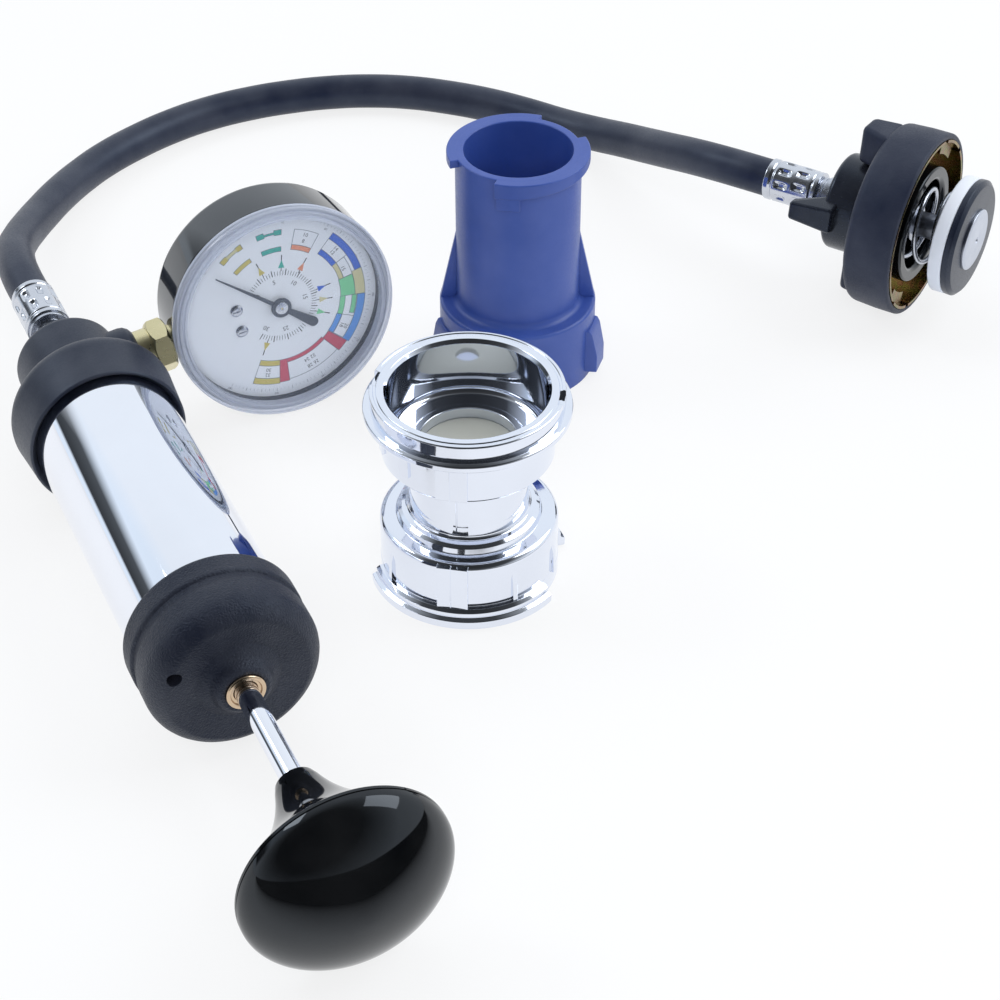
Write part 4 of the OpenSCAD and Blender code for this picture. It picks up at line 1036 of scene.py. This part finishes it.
@dataclass
class Gauge:
    """The dial gauge: case, lens, printed dial and needle."""

    place: Matrix
    case_r: float = 33.4
    case_back: float = -13.4
    case_front: float = 5.6
    case_wall: float = 1.0
    lens_r: float = 34.0
    lens_front: float = 8.6
    window_r: float = 30.2
    dial_r: float = 31.6
    dial_face: float = 2.8
    dial_back: float = 2.2
    print_lift: float = 0.03
    numbers_r: float = 8.0
    numbers_size: float = 2.0
    fine_numbers_r: tuple[float, float] = (26.9, 29.6)
    fine_numbers_size: float = 1.0
    panel_rows: tuple[float, float] = (0.3, 0.72)
    panel_size: float = 1.7
    mark_r: float = 13.3
    mark_size: float = 1.3
    mark_line: tuple[float, float] = (11.4, 16.6)
    mark_half: float = 0.55
    needle_back: float = 3.8
    needle_t: float = 0.5
    zero: float = 225.0
    sweep: float = 270.0
    hub_r: float = 3.1
    needle_tip: float = 23.5
    needle_tail: float = 13.4
    needle_half: float = 1.5
    sides: int = 224
    hub_sides: int = 72
    line: float = 0.17
    trees: dict[str, Tree] = field(default_factory=dict)
    prints: dict[Paint, list[bpy.types.Object]] = field(default_factory=dict)

    def build(self) -> None:
        """Makes and settles the gauge's pieces."""
        self.trees = {"tick": tick_tree(), "band": band_tree(), "mark": pointer_tree()}
        finished("gauge_socket", BRASS, 0.2, 2)
        self.build_case()
        self.build_lens()
        disc = rounded([(0, self.dial_back), (self.dial_r, self.dial_back, 0.2),
                        (self.dial_r, self.dial_face, 0.2), (0, self.dial_face)])
        plate = turned("dial_plate", disc, self.place, DIAL_WHITE)
        settle(plate, "pump", "dial_white", "gauge_dial")
        self.build_bands()
        self.build_ticks()
        self.build_numbers()
        self.settle_prints()
        finished("dial_screws", STEEL, 0.06, 2)
        self.build_needle()

    def build_case(self) -> None:
        """The glossy case, a deep pan with a rolled rim."""
        r, wall, front = self.case_r, self.case_wall, self.case_front
        pan = rounded([(0, self.case_back), (r, self.case_back, 3.2), (r, 3.6, 0.2),
                       (r + 0.25, 4.0, 0.2), (r + 0.25, front, 0.2), (r - wall, front),
                       (r - wall, self.case_back + wall, 2.2), (0, self.case_back + wall)])
        case = turned("case_pan", pan, self.place, CASE_BLACK, self.sides)
        settle(case, "pump", "gloss_black", "gauge_case")

    def build_lens(self) -> None:
        """The clear lens: a thin window in a rim that steps in ridges."""
        top, r, edge = self.lens_front, self.lens_r, self.window_r
        ridges = rounded([
            (edge, 5.6), (edge + 0.5, 4.7), (r - 1.65, 4.7), (r - 1.65, self.case_front),
            (r, self.case_front, 0.1), (r, top - 1.7, 0.2), (r - 0.3, top - 1.5, 0.1),
            (r - 0.3, top - 1.15, 0.1), (r - 0.1, top - 0.95, 0.15), (r - 0.35, top - 0.35, 0.2),
            (r - 0.85, top - 0.2, 0.15), (r - 1.0, top - 0.6, 0.1), (r - 1.3, top - 0.6, 0.1),
            (r - 1.5, top, 0.3), (r - 2.3, top, 0.3), (r - 2.45, top - 0.5, 0.1),
            (r - 2.8, top - 0.5, 0.1), (r - 3.0, top - 0.1, 0.25), (edge, top - 0.1)])
        rim = turned("lens_rim", ridges, self.place, LENS_RIM, self.sides)
        settle(rim, "pump", "clear_lens", "gauge_lens")
        pane = block(0, edge - 0.05, top - 1.0, top - 0.35)
        settle(turned("lens_window", pane, self.place, LENS), "pump", "clear_lens")

    def stamp(self, tree: str, paint: Paint, layer: float, values: dict) -> None:
        """Prints what a tree draws.

        Args:
            tree: the tree's name.
            paint: its ink.
            layer: how far above the dial it lies, in printed layers.
            values: the tree's values, but for its height.
        """
        values = {**values, "Height": self.dial_face + layer * self.print_lift}
        piece = self.trees[tree].grow("print", Matrix.Identity(4), PALETTE.ink(paint), values)
        self.prints.setdefault(paint, []).append(piece)

    def print_arc(self, paint: Paint, arc: Arc, layer: float) -> None:
        """Prints a flat stretch of a ring."""
        self.stamp("band", paint, layer, {
            "Inner": arc.inner, "Outer": arc.outer, "Start": math.radians(arc.start),
            "Sweep": math.radians(arc.end - arc.start)})

    def print_outline(self, arc: Arc) -> None:
        """Prints a thin dark line round a stretch of a ring."""
        inner, outer, line = arc.inner, arc.outer, self.line
        side = math.degrees(line / ((inner + outer) / 2))
        for part in (Arc(inner - line, inner, arc.start, arc.end),
                     Arc(outer, outer + line, arc.start, arc.end),
                     Arc(inner - line, outer + line, arc.start - side, arc.start),
                     Arc(inner - line, outer + line, arc.end, arc.end + side)):
            self.print_arc(Paint.GREY, part, 1)

    def build_bands(self) -> None:
        """The coloured bands with their dark outlines, and the framed fields between them."""
        for band in DIAL_BANDS:
            self.print_arc(band.paint, band, 2)
            self.print_outline(band)
        for panel in DIAL_PANELS:
            self.print_outline(panel)
            middle = (panel.start + panel.end) / 2
            for text, row in zip(panel.numbers, self.panel_rows):
                radius = panel.inner + (panel.outer - panel.inner) * row
                self.print_number(Paint.BLACK, text, radius, middle, self.panel_size)

    def build_ticks(self) -> None:
        """The inner and outer scales and the pointers on their strokes."""
        for scale in DIAL_SCALES:
            self.stamp("tick", scale.paint, 1, {
                "Count": scale.count, "Start": math.radians(self.zero),
                "Step": -math.radians(self.sweep) / (scale.count - 1), "Radius": scale.radius,
                "Length": scale.length, "Width": scale.width, "Every": scale.every,
                "Long": scale.longer})
        for paint, angle in DIAL_MARKS:
            self.stamp("mark", paint, 3, {
                "Radius": self.mark_r, "Angle": math.radians(angle), "Size": self.mark_size})
            line = Arc(*self.mark_line, angle - self.mark_half, angle + self.mark_half)
            self.print_arc(Paint.BLACK, line, 2)

    def build_numbers(self) -> None:
        """Plain numbers along both scales, read from the dial's middle outwards."""
        for k in range(7):
            angle = self.zero - self.sweep * k / 6
            self.print_number(Paint.BLACK, str(5 * k), self.numbers_r, angle, self.numbers_size)
        for k in range(10):
            radius, angle = self.fine_numbers_r[k // 5], self.zero - self.sweep * k / 9
            self.print_number(Paint.GREY, str(20 * k), radius, angle, self.fine_numbers_size)

    def print_number(self, paint: Paint, text: str, radius: float, angle: float,
                     size: float) -> None:
        """Prints a number on the dial.

        Args:
            paint: its ink.
            text: its digits.
            radius: how far from the centre it stands.
            angle: its place on the scale, in degrees.
            size: its height.
        """
        curve = bpy.data.curves.new("number", "FONT")
        curve.body = text
        curve.size = size
        curve.align_x = "CENTER"
        curve.align_y = "CENTER"
        curve.resolution_u = 3
        made = keep_mesh(shown("number", curve))
        a = math.radians(angle)
        spot = Vector((radius * math.cos(a), radius * math.sin(a),
                       self.dial_face + self.print_lift))
        made.data.transform(Matrix.Translation(spot) @ Matrix.Rotation(a - math.pi / 2, 4, "Z"))
        self.prints.setdefault(paint, []).append(made)

    def settle_prints(self) -> None:
        """Joins the prints of each ink into one piece."""
        for paint, pieces in self.prints.items():
            joined = bmesh.new()
            for piece in pieces:
                joined.from_mesh(piece.data)
                bpy.data.objects.remove(piece)
            for face in joined.faces:
                face.normal_update()
                if face.normal.z < 0:
                    face.normal_flip()
            mesh = mesh_of(f"print_{paint.name.lower()}", joined)
            mesh.transform(self.place)
            mesh.materials.clear()
            mesh.materials.append(PALETTE.ink(paint))
            mesh.polygons.foreach_set("material_index", [0] * len(mesh.polygons))
            settle(shown(mesh.name, mesh), "pump", "dial_white")

    def build_needle(self) -> None:
        """The tapered needle with its round tail, dark hub ring and bright cap."""
        bm = bmesh.new()
        tail, tip, half = self.needle_tail, self.needle_tip, self.needle_half
        outline = [(tip, 0.14), (2.5, 0.62), (-2.5, 0.8), (-tail + half, half)]
        curve = [(-tail + half - half * math.sin(a), half * math.cos(a))
                 for a in (math.pi * k / 12 for k in range(1, 12))]
        edge = outline + curve + [(x, -y) for x, y in reversed(outline)]
        turn = Matrix.Rotation(math.radians(self.zero), 4, "Z")
        low = [bm.verts.new(turn @ Vector((x, y, self.needle_back))) for x, y in edge]
        face = bm.faces.new(low)
        top = bmesh.ops.extrude_face_region(bm, geom=[face])["geom"]
        bmesh.ops.translate(bm, verts=[v for v in top if isinstance(v, bmesh.types.BMVert)],
                            vec=(0, 0, self.needle_t))
        blade = mesh_object("needle_blade", bm, self.place, NEEDLE_GREY)
        settle(blade, "needle", "needle_grey", "gauge_needle")
        base = self.needle_back
        ring = rounded([(1.9, base), (self.hub_r, base, 0.1), (self.hub_r, base + 0.85, 0.25),
                        (1.9, base + 0.85, 0.1)])
        hub = turned("needle_hub_ring", ring, self.place, NEEDLE_GREY, self.hub_sides)
        settle(hub, "needle", "needle_grey")
        cap = rounded([(0, base + 0.1), (2.0, base + 0.1), (2.0, base + 0.95, 0.2),
                       (0.3, base + 1.1, 0.05), (0.3, base + 0.6), (0, base + 0.6)])
        hub_cap = turned("needle_hub_cap", cap, self.place, STEEL, self.hub_sides)
        settle(hub_cap, "needle", "steel")


@dataclass
class Hose:
    """The rubber hose and its crimped ferrules."""

    pump_place: Matrix
    head_place: Matrix
    diameter: float = 12.2
    ferrule_r: float = 6.7
    ferrule_len: float = 17.8
    pump_end: float = -77.8
    head_end: float = -54.3
    straight: float = 12.2
    route: tuple[tuple[float, float, float], ...] = (
        (-130.7, 159.1, 24.4), (-128.3, 169.6, 21.9), (-124.5, 179.6, 18.9), (-118.5, 191.6, 15.3),
        (-111, 204.1, 12), (-102, 216.4, 9.6), (-91, 228.1, 7.8), (-79, 237.6, 6.8),
        (-65.5, 245, 6.3), (-51, 250.4, 6.2), (-36, 253.5, 6.2), (-20.5, 254.2, 6.2),
        (-5.5, 252.8, 6.2), (9.5, 249.5, 6.2), (23.5, 244.2, 6.2), (36.5, 236.7, 6.2),
        (48.5, 226.8, 6.2), (58.9, 216, 6.2), (67.9, 204.1, 6.2), (75.5, 191, 6.8),
        (81.7, 177.6, 8.9), (85.9, 163.6, 12.6), (88.1, 150.2, 16.8), (89.5, 137.6, 21.1),
        (91.2, 125.5, 25.1), (94, 113.9, 28.1))
    length: float = 0.4095

    def points(self) -> list[Vector]:
        """The hose's route in metres, from the pump's ferrule to the head's."""
        start, leave = (self.pump_place @ Vector((0, 0, self.pump_end - d))
                        for d in (0, self.straight))
        arrive, end = (self.head_place @ Vector((0, 0, self.head_end - d))
                       for d in (0.75 * self.straight, 0))
        return [start, leave, *(Vector(p) * MM for p in self.route), arrive, end]

    def build(self) -> None:
        """Makes the hose and its ferrules."""
        crimp = crimp_tree()
        for name, place, end in (("pump_ferrule", self.pump_place, self.pump_end),
                                 ("head_ferrule", self.head_place, self.head_end)):
            values = {"Radius": self.ferrule_r, "Length": self.ferrule_len, "Start": end}
            sleeve = crimp.grow(f"{name}_crimped", place, PALETTE.of(BRIGHT_ZINC), values)
            settle(sleeve, "pump", "zinc", name)
        curve = bpy.data.curves.new("hose_line", "CURVE")
        curve.dimensions = "3D"
        spline = curve.splines.new("BEZIER")
        points = self.points()
        spline.bezier_points.add(len(points) - 1)
        for knot, at in zip(spline.bezier_points, points):
            knot.co = at
            knot.handle_left_type = knot.handle_right_type = "AUTO"
        curve.resolution_u = 8
        curve.bevel_depth = self.diameter / 2 * MM
        curve.bevel_resolution = 9
        curve.use_fill_caps = True
        curve.materials.append(PALETTE.of(HOSE_RUBBER))
        hose = settle(shown("hose_rubber", curve), "pump", "hose_rubber", "hose")


@dataclass
class CapHead:
    """The sprung bayonet cap head at the hose's end."""

    place: Matrix
    spring_r: float = 11.5
    spring_wire: float = 0.8
    spring_turns: float = 2.6
    well_floor: float = -9.0
    disc_back: float = 8.4
    disc_t: float = 4.4
    seal_t: float = 3.0
    seal_r: float = 18.7
    rivet_r: float = 9.8
    shank_r: float = 3.95
    shank_end: float = -18.0
    stem_r: float = 6.05
    body_r: float = 29.5
    body_depth: float = 16.0
    plate_r: float = 27.62
    plate_depth: float = 8.0
    cup_r: float = 18.92
    cup_back: float = -13.8
    wing_angle: float = 85.0
    wing_near: float = 16.6
    wing_reach: float = 8.3
    wing_round: float = 1.9
    wing_half_root: float = 7.7
    wing_half_tip: float = 4.6

    def build(self) -> None:
        """Makes and settles the head's pieces."""
        self.build_body()
        finished("bayonet_plate", YELLOW_ZINC, 0.12, 2)
        finished("spring_cup", GLOSS_BLACK, 0.2, 2)
        finished("wing_collar", COLLAR_BLACK, 0.3, 3, math.radians(30))
        finished("head_stem", STEEL, 0.15, 2)
        finished("head_nipple", STEEL, 0.15, 2)
        self.build_spring()
        self.build_seal()

    def build_body(self) -> None:
        """The moulded body with its two rounded finger wings."""
        r, back, floor, well = self.body_r, -self.body_depth, -self.plate_depth, self.cup_r
        bm = bmesh.new()
        add_turned(bm, rounded([
            (self.stem_r, back), (r - 0.5, back, 2.6), (r, -7.0, 4.0), (r, 0.0, 1.6),
            (self.plate_r, 0.0, 0.3), (self.plate_r, floor), (well, floor),
            (well, self.cup_back), (self.stem_r, self.cup_back)]))
        for angle in (self.wing_angle, self.wing_angle + 180):
            self.add_wing(bm, angle)
        body = mesh_object("cap_body_moulded", bm, self.place, HEAD_PLASTIC)
        settle(body, "cap", slot_of("cap_body"), "cap_body")

    def add_wing(self, bm: bmesh.types.BMesh, angle: float) -> None:
        """Adds one finger wing, a tapered block with all its edges rounded."""
        wing = bmesh.new()
        near, back = self.wing_near, -self.body_depth
        rings = [[wing.verts.new((x, y, z)) for x, y in
                  ((near, -half), (far, -half), (far, half), (near, half))]
                 for z, far, half in (
                     (back + 2, self.body_r - 1.3, self.wing_half_root),
                     (back - self.wing_reach, self.body_r - 0.6, self.wing_half_tip))]
        for i in range(4):
            j = (i + 1) % 4
            wing.faces.new((rings[0][i], rings[0][j], rings[1][j], rings[1][i]))
        wing.faces.new(rings[0])
        wing.faces.new(rings[1])
        bmesh.ops.bevel(wing, geom=list(wing.edges), offset=self.wing_round, segments=5,
                        profile=0.5, affect="EDGES", clamp_overlap=True)
        wing.transform(Matrix.Rotation(math.radians(angle), 4, "Z"))
        part = mesh_of("wing", wing)
        bm.from_mesh(part)
        bpy.data.meshes.remove(part)

    def build_spring(self) -> None:
        """The round wire spring between the cup and the disc."""
        reach = self.spring_wire + 0.1
        values = {"Radius": self.spring_r, "Wire": self.spring_wire, "Turns": self.spring_turns,
                  "Lift": self.well_floor + reach,
                  "Height": self.disc_back - self.well_floor - 2 * reach}
        spring = spring_tree().grow("spring_wire", self.place, PALETTE.of(STEEL), values)
        settle(spring, "cap", "steel", "head_spring")

    def build_seal(self) -> None:
        """The white disc, the rubber seal and the rivet through them."""
        back, front = self.disc_back, self.disc_back + self.disc_t
        shank = self.shank_r + 0.02
        disc = rounded([
            (shank, back - 3), (self.spring_r - 3.2, back - 3, 0.3),
            (self.spring_r - 2.6, back, 0.3), (self.seal_r, back, 0.5),
            (self.seal_r, front, 0.5), (shank, front)])
        disc_piece = turned("disc_moulded", disc, self.place, DISC_WHITE)
        settle(disc_piece, "seal", "disc_white", "backing_disc")
        top = front + self.seal_t
        seal = rounded([(shank, front), (self.seal_r - 0.05, front, 0.25),
                        (self.seal_r, front + 1.5), (self.seal_r, top - 1.1, 0.4),
                        (self.seal_r - 1.3, top, 0.5), (shank, top)])
        seal_piece = turned("seal_rubber", seal, self.place, BLACK_RUBBER)
        settle(seal_piece, "seal", "black_rubber", "seal_washer")
        head = rounded([(0, self.shank_end), (self.shank_r, self.shank_end), (self.shank_r, top),
                        (self.rivet_r, top, 0.1), (self.rivet_r, top + 0.75, 0.25),
                        (self.rivet_r - 0.9, top + 1.1, 0.5), (1.1, top + 1.25, 0.2),
                        (0.7, top + 0.7, 0.2), (0, top + 0.6)])
        rivet = turned("rivet_head", head, self.place, RIVET_STEEL)
        settle(rivet, "seal", "steel", "seal_rivet")


@dataclass
class ChromeAdapter:
    """The chromed adapter: two cups back to back, with cam flanges, pads and parting lines."""

    place: Matrix
    bore: float = 21.4
    cup: float = 23.3
    waist: float = 16.4
    flange: float = 27.8
    height: float = 60.6
    web: float = 43.6
    ring: float = 24.3
    foot: float = 24.6
    seam: float = 260.0
    sides: int = 224
    rib_angles: tuple[int, ...] = (300, 338, 212, 40, 120)
    pad_angles: tuple[int, ...] = (196, 226)

    def build(self) -> None:
        """Makes and settles the body and its gasket."""
        bm = bmesh.new()
        add_turned(bm, rounded(self.body_outline(), 6), self.sides)
        self.add_flanges(bm)
        self.add_pads(bm)
        body = eased(mesh_object("chrome_casting", bm, self.place, CAST_CHROME), 0.16, 2)
        settle(body, "chrome_neck", slot_of("chrome_adapter"), "chrome_adapter")
        finished("adapter_gasket", GASKET, 0.15, 2)

    def body_outline(self) -> Corners:
        """The section of the body without the parts of its flanges that have gaps."""
        h, cup, waist = self.height, self.cup, self.waist
        return [
            (self.bore, 0.0), (self.foot, 0.0, 0.3), (self.foot, 5.5, 0.3), (24.5, 5.6),
            (24.5, 19.5, 2.0), (19.9, 19.7, 0.3), (19.4, 21.4, 0.4), (18.4, 22.1, 0.4),
            (16.6, 22.6, 2.4), (waist, 26.2, 1.5), (waist, 38.4, 2.6), (18.4, 40.0, 0.8),
            (22.5, 40.2, 0.6), (cup, 41.2, 0.6), (cup + 0.2, h - 7.6),
            (self.flange - 0.8, h - 7.2, 0.2), (self.flange, h - 6.6, 0.6),
            (self.flange, h - 5.0, 0.6), (self.flange - 1.0, h - 4.5, 0.3), (self.ring, h - 4.3),
            (self.ring, h - 0.3, 0.25), (self.ring - 0.3, h, 0.2), (self.bore + 0.8, h, 0.3),
            (self.bore, h - 1.0, 0.4), (self.bore, self.web, 2.2), (15.6, self.web, 0.4),
            (14.9, self.web + 0.5, 0.3), (13.02, self.web + 0.5, 0.3), (13.02, 39.3),
            (10.8, 39.3), (10.8, 37.9), (13.4, 37.9), (13.4, 16.0, 0.5), (self.bore, 16.0, 0.5)]

    def add_flanges(self, bm: bmesh.types.BMesh) -> None:
        """Adds the top ring with two entry slots and the foot flange with two cam windows."""
        h, flange, start = self.height, self.flange, self.ring - 0.6
        top = rounded([(start, h - 4.8), (flange - 1.9, h - 4.8), (flange - 1.9, h, 1.0),
                       (25.0, h, 0.2), (24.8, h - 0.25, 0.1), (start, h - 0.25)])
        low = rounded([(self.foot - 0.6, 0.05), (flange, 0.05, 0.4), (flange, 2.6, 0.3),
                       (flange - 1.2, 3.2, 0.3), (flange - 1.2, 4.6, 0.3),
                       (flange - 2.2, 5.4, 0.3), (self.foot - 0.6, 5.5)])
        base = rounded([(start, h - 4.8), (flange - 1.9, h - 4.8), (flange - 1.9, h - 1.8, 0.3),
                        (start, h - 1.8)])
        for turn in (0, 180):
            add_sector(bm, top, turn - 3, turn + 163)
            add_sector(bm, base, turn - 17.5, turn - 2.5)
            add_sector(bm, low, turn + 16, turn + 144)

    def add_pads(self, bm: bmesh.types.BMesh) -> None:
        """Adds the pads along the parting line, the parting fins and the small side ribs."""
        web, cup, waist = self.web, self.cup, self.waist
        for angle in (self.seam, self.seam - 180):
            half = 4.2 if angle == self.seam else 1.4
            add_web(bm, block(cup - 1, cup + 1, web - 2, web + 9.6), angle, half)
            add_web(bm, block(cup, cup + 2, 5, 19), angle, half)
            add_web(bm, block(waist - 1, waist + 0.3, 24, 39), angle - 0.8, 0.18)
            add_web(bm, block(cup, cup + 1.2, web - 2.1, web + 9.5), angle - 1.0, 0.14)
            add_web(bm, block(cup, cup + 2.2, 4.9, 19.1), angle - 1.0, 0.14)
        for angle in self.rib_angles:
            add_web(bm, [(23.4, 5), (25.3, 5), (25.1, 12), (24.3, 15), (23.4, 15)], angle, 0.7)
        for angle in self.pad_angles:
            add_web(bm, block(22.4, 24.0, web + 1, web + 8), angle, 1.6)


@dataclass
class BlueAdapter:
    """The blue adapter: a tube with cam ears on a wide collar with lugs and gussets."""

    place: Matrix
    bore: float = 16.15
    tube: float = 18.7
    ear: float = 21.2
    collar: float = 23.9
    collar_h: float = 23.4
    collar_wall: float = 2.4
    height: float = 74.5
    ear_t: float = 5.0
    ear_half: float = 65.0
    ear_ramp: float = 2.4
    stop_h: float = 9.0
    sides: int = 192
    ear_turns: tuple[int, int] = (-45, 135)
    gusset_turns: tuple[int, int] = (0, 180)
    lug_turns: tuple[int, int] = (-18, 200)

    def build(self) -> None:
        """Makes and settles the moulding."""
        bm = bmesh.new()
        add_turned(bm, rounded(self.body_outline(), 6), self.sides)
        for turn in self.ear_turns:
            self.add_ear(bm, turn)
        edge = self.collar - 0.4
        gusset = [(18.2, self.collar_h - 2), (edge, self.collar_h - 2),
                  (edge, self.collar_h + 0.6), (self.tube, 46), (18.2, 46)]
        for turn in self.gusset_turns:
            add_web(bm, gusset, turn, 1.2)
        lug = [(22.6, 2.5), (26.9, 2.5), (26.9, 8.5), (25.3, 16.1), (24.4, 17.5), (22.6, 17.5)]
        for turn in self.lug_turns:
            add_web(bm, lug, turn, 5, 0.8)
        body = eased(mesh_object("blue_moulding", bm, self.place, BLUE_NYLON), 0.3, 3)
        settle(body, "blue_neck", slot_of("blue_adapter"), "blue_adapter")

    def body_outline(self) -> Corners:
        """The section of the tube and its collar."""
        low_bore = self.collar - self.collar_wall
        return [(low_bore, 0.0), (self.collar, 0.0, 0.4), (self.collar, self.collar_h, 1.0),
                (self.tube, self.collar_h, 2.0), (self.tube, self.height, 0.4),
                (self.bore, self.height, 0.4), (self.bore, self.collar_h - 4, 0.3),
                (low_bore, self.collar_h - 4, 0.4)]

    def add_ear(self, bm: bmesh.types.BMesh, turn: float) -> None:
        """Adds one ear of the top flange with its stop, thick at the stop and thin at its end."""
        top, low, inside = self.height - 0.02, self.height - self.ear_t, self.tube - 0.5
        ear = rounded([(inside, low), (self.ear, low), (self.ear, top, 0.4), (inside, top)])
        add_sector(bm, ear, turn - self.ear_half, turn + self.ear_half, self.ear_ramp)
        stop = block(inside, self.ear - 0.5, self.height - self.stop_h, self.height - 1)
        start = turn + 11 - self.ear_half
        add_sector(bm, stop, start - 10, start + 10)


# ------------------------------------------------------------------ studio
@dataclass(frozen=True)
class SoftBox:
    """A square area lamp that points at the object."""

    name: str
    at: tuple[float, float, float]
    size: float
    power: float
    in_gloss: bool
    tint: Colour = (0.95, 0.975, 1.0)

    def build(self) -> None:
        """Adds the lamp."""
        lamp = bpy.data.lights.new(self.name, "AREA")
        lamp.size = self.size
        lamp.energy = self.power
        lamp.color = self.tint
        obj = shown(self.name, lamp)
        obj.location = self.at
        obj.rotation_euler = (-Vector(self.at)).to_track_quat("-Z", "Y").to_euler()
        obj.visible_glossy = self.in_gloss


SOFT_BOXES = (
    SoftBox("top_box", (0.2, 0.7, 1.4), 1.0, 3.5, False),
    SoftBox("left_box", (-0.9, 0.75, 1.2), 0.5, 4.0, True),
    SoftBox("right_box", (1.1, -0.2, 1.15), 0.95, 9.0, True),
    SoftBox("front_fill", (-0.5, -1.2, 1.1), 1.0, 11.0, False),
)


@dataclass(frozen=True)
class Studio:
    """The plain pale floor, the soft light and the camera."""

    camera_at: tuple[float, float, float] = (-0.2397, -0.4302, 0.4022)
    camera_along: tuple[float, float, float] = (0.3285, 0.7011, -0.6329)
    focal: float = 79.2
    view_end: float = 200.0
    floor_size: float = 60.0
    floor_drop: float = 0.0001
    floor_white: float = 0.8
    table_edge: tuple[float, float] = (-0.21, -0.15)
    room_dark: float = 0.94
    sky_tint: Colour = (0.9, 0.95, 1.0)
    sky_levels: Levels = ((0.0, 1.0), (0.3, 0.95), (0.52, 0.5), (0.76, 0.06), (1.0, 0.03))
    dim_towards: tuple[float, float, float] = (-0.3, -0.6, 0.74)
    strip_levels: Levels = ((0.06, 1.0), (0.1, 0.05), (0.28, 0.1), (0.42, 1.0))
    strip_left: tuple[float, float] = (-0.3, -0.5)
    strip_back: tuple[float, float] = (0.2, 0.4)

    def build_camera(self) -> None:
        """The camera at the photograph's angle."""
        camera = bpy.data.cameras.new("camera")
        camera.lens = self.focal
        camera.clip_end = self.view_end
        obj = shown("camera", camera)
        obj.location = self.camera_at
        obj.rotation_euler = Vector(self.camera_along).to_track_quat("-Z", "Y").to_euler()
        bpy.context.scene.camera = obj

    def build_floor(self) -> None:
        """A wide pale floor."""
        mesh = bpy.data.meshes.new("floor")
        half = self.floor_size / 2
        corners = [(-half, -half, 0), (half, -half, 0), (half, half, 0), (-half, half, 0)]
        mesh.from_pydata(corners, [], [(0, 1, 2, 3)])
        s = Shader("floor_white")
        s.set("Roughness", 0.9)
        s.set("Specular IOR Level", 0.0)
        s.feed("Base Color", s.ramp(s.noise(3), [(0.3, srgb("f4f6fa")), (0.7, srgb("f8fafd"))]))
        self.lift_floor(s)
        mesh.materials.append(s.material)
        floor = shown("floor", mesh)
        floor.location.z = -self.floor_drop

    def lift_floor(self, s: Shader) -> None:
        """Shows the floor near white, with faint shadows, to camera, gloss and glass.

        That ends at the table's edge, in front of the object. Beyond it the floor is plain white
        to camera, and gloss sees the dark room as it does in a studio.
        """
        seen = s.add("ShaderNodeLightPath", {}).outputs
        rays = s.math("MAXIMUM", seen["Is Camera Ray"],
                      s.math("MAXIMUM", seen["Is Glossy Ray"], seen["Is Transmission Ray"]))
        along = s.add("ShaderNodeSeparateXYZ", {0: s.place}).outputs["Y"]
        beyond = s.spread(along, 1.0, 0.0, *self.table_edge)
        share = s.times(rays, s.plus(self.floor_white, s.times(beyond, 1 - self.floor_white)))
        dimmed = s.times(s.times(beyond, seen["Is Glossy Ray"]), self.room_dark)
        plain = s.add("ShaderNodeEmission", {"Strength": s.minus(1.0, dimmed)})
        mix = s.add("ShaderNodeMixShader", {
            0: share, 1: s.surface.outputs["BSDF"], 2: plain.outputs[0]})
        s.tree.links.new(mix.outputs[0], s.output.inputs["Surface"])

    def tinted(self, levels: Levels) -> list[tuple[float, Colour]]:
        """Stops of place and brightness as stops of place and colour, in the sky's tint."""
        return [(at, tuple(level * c for c in self.sky_tint)) for at, level in levels]

    def build_world(self) -> None:
        """A pale sky with a dim part behind the camera and a dark strip at the back left."""
        world = bpy.data.worlds.new("studio")
        bpy.context.scene.world = world
        world.use_nodes = True
        g = Graph(world.node_tree)
        g.tree.nodes.clear()
        way = g.add("ShaderNodeTexCoord", {}).outputs["Generated"]
        facing = g.add("ShaderNodeVectorMath", {0: way, 1: Vector(self.dim_towards).normalized()},
                       operation="DOT_PRODUCT")
        sky = g.ramp(facing.outputs["Value"], self.tinted(self.sky_levels))
        axes = g.add("ShaderNodeSeparateXYZ", {0: way}).outputs
        strip = g.ramp(axes["Z"], self.tinted(self.strip_levels))
        within = g.times(g.spread(axes["X"], 0.0, 1.0, *self.strip_left),
                         g.spread(axes["Y"], 0.0, 1.0, *self.strip_back))
        shade = g.add("ShaderNodeMixRGB", {0: within, 1: sky, 2: strip}, blend_type="MULTIPLY")
        lit = g.add("ShaderNodeBackground", {"Color": shade.outputs[0]})
        white = g.add("ShaderNodeBackground", {"Color": (1, 1, 1, 1)})
        seen = g.add("ShaderNodeLightPath", {}).outputs
        mix = g.add("ShaderNodeMixShader", {
            0: seen["Is Camera Ray"], 1: lit.outputs[0], 2: white.outputs[0]})
        g.add("ShaderNodeOutputWorld", {"Surface": mix.outputs[0]})


def dress_nodes() -> None:
    """Gives every CAD node its slot's material."""
    for part in frame["record"]["subparts"]:
        mesh = frame["nodes"][part["node"]].data
        mesh.materials.clear()
        mesh.materials.append(PALETTE.of(SLOT_FINISH[part["material_slot"]]))


def main() -> None:
    """Builds the studio and dresses every sub-assembly in order."""
    logging.basicConfig(level=logging.INFO, format="%(message)s")
    bpy.context.scene.view_settings.view_transform = "Standard"
    studio = Studio()
    studio.build_camera()
    places = Places()
    dress_nodes()
    Hose(places.pump, places.head).build()
    Pump(places.pump).build()
    Gauge(places.gauge).build()
    CapHead(places.head).build()
    ChromeAdapter(places.chrome).build()
    BlueAdapter(places.blue).build()
    finished("hose_nipple", STEEL, 0.15, 2)
    studio.build_floor()
    studio.build_world()
    for box in SOFT_BOXES:
        box.build()


if __name__ == "__main__":
    main()
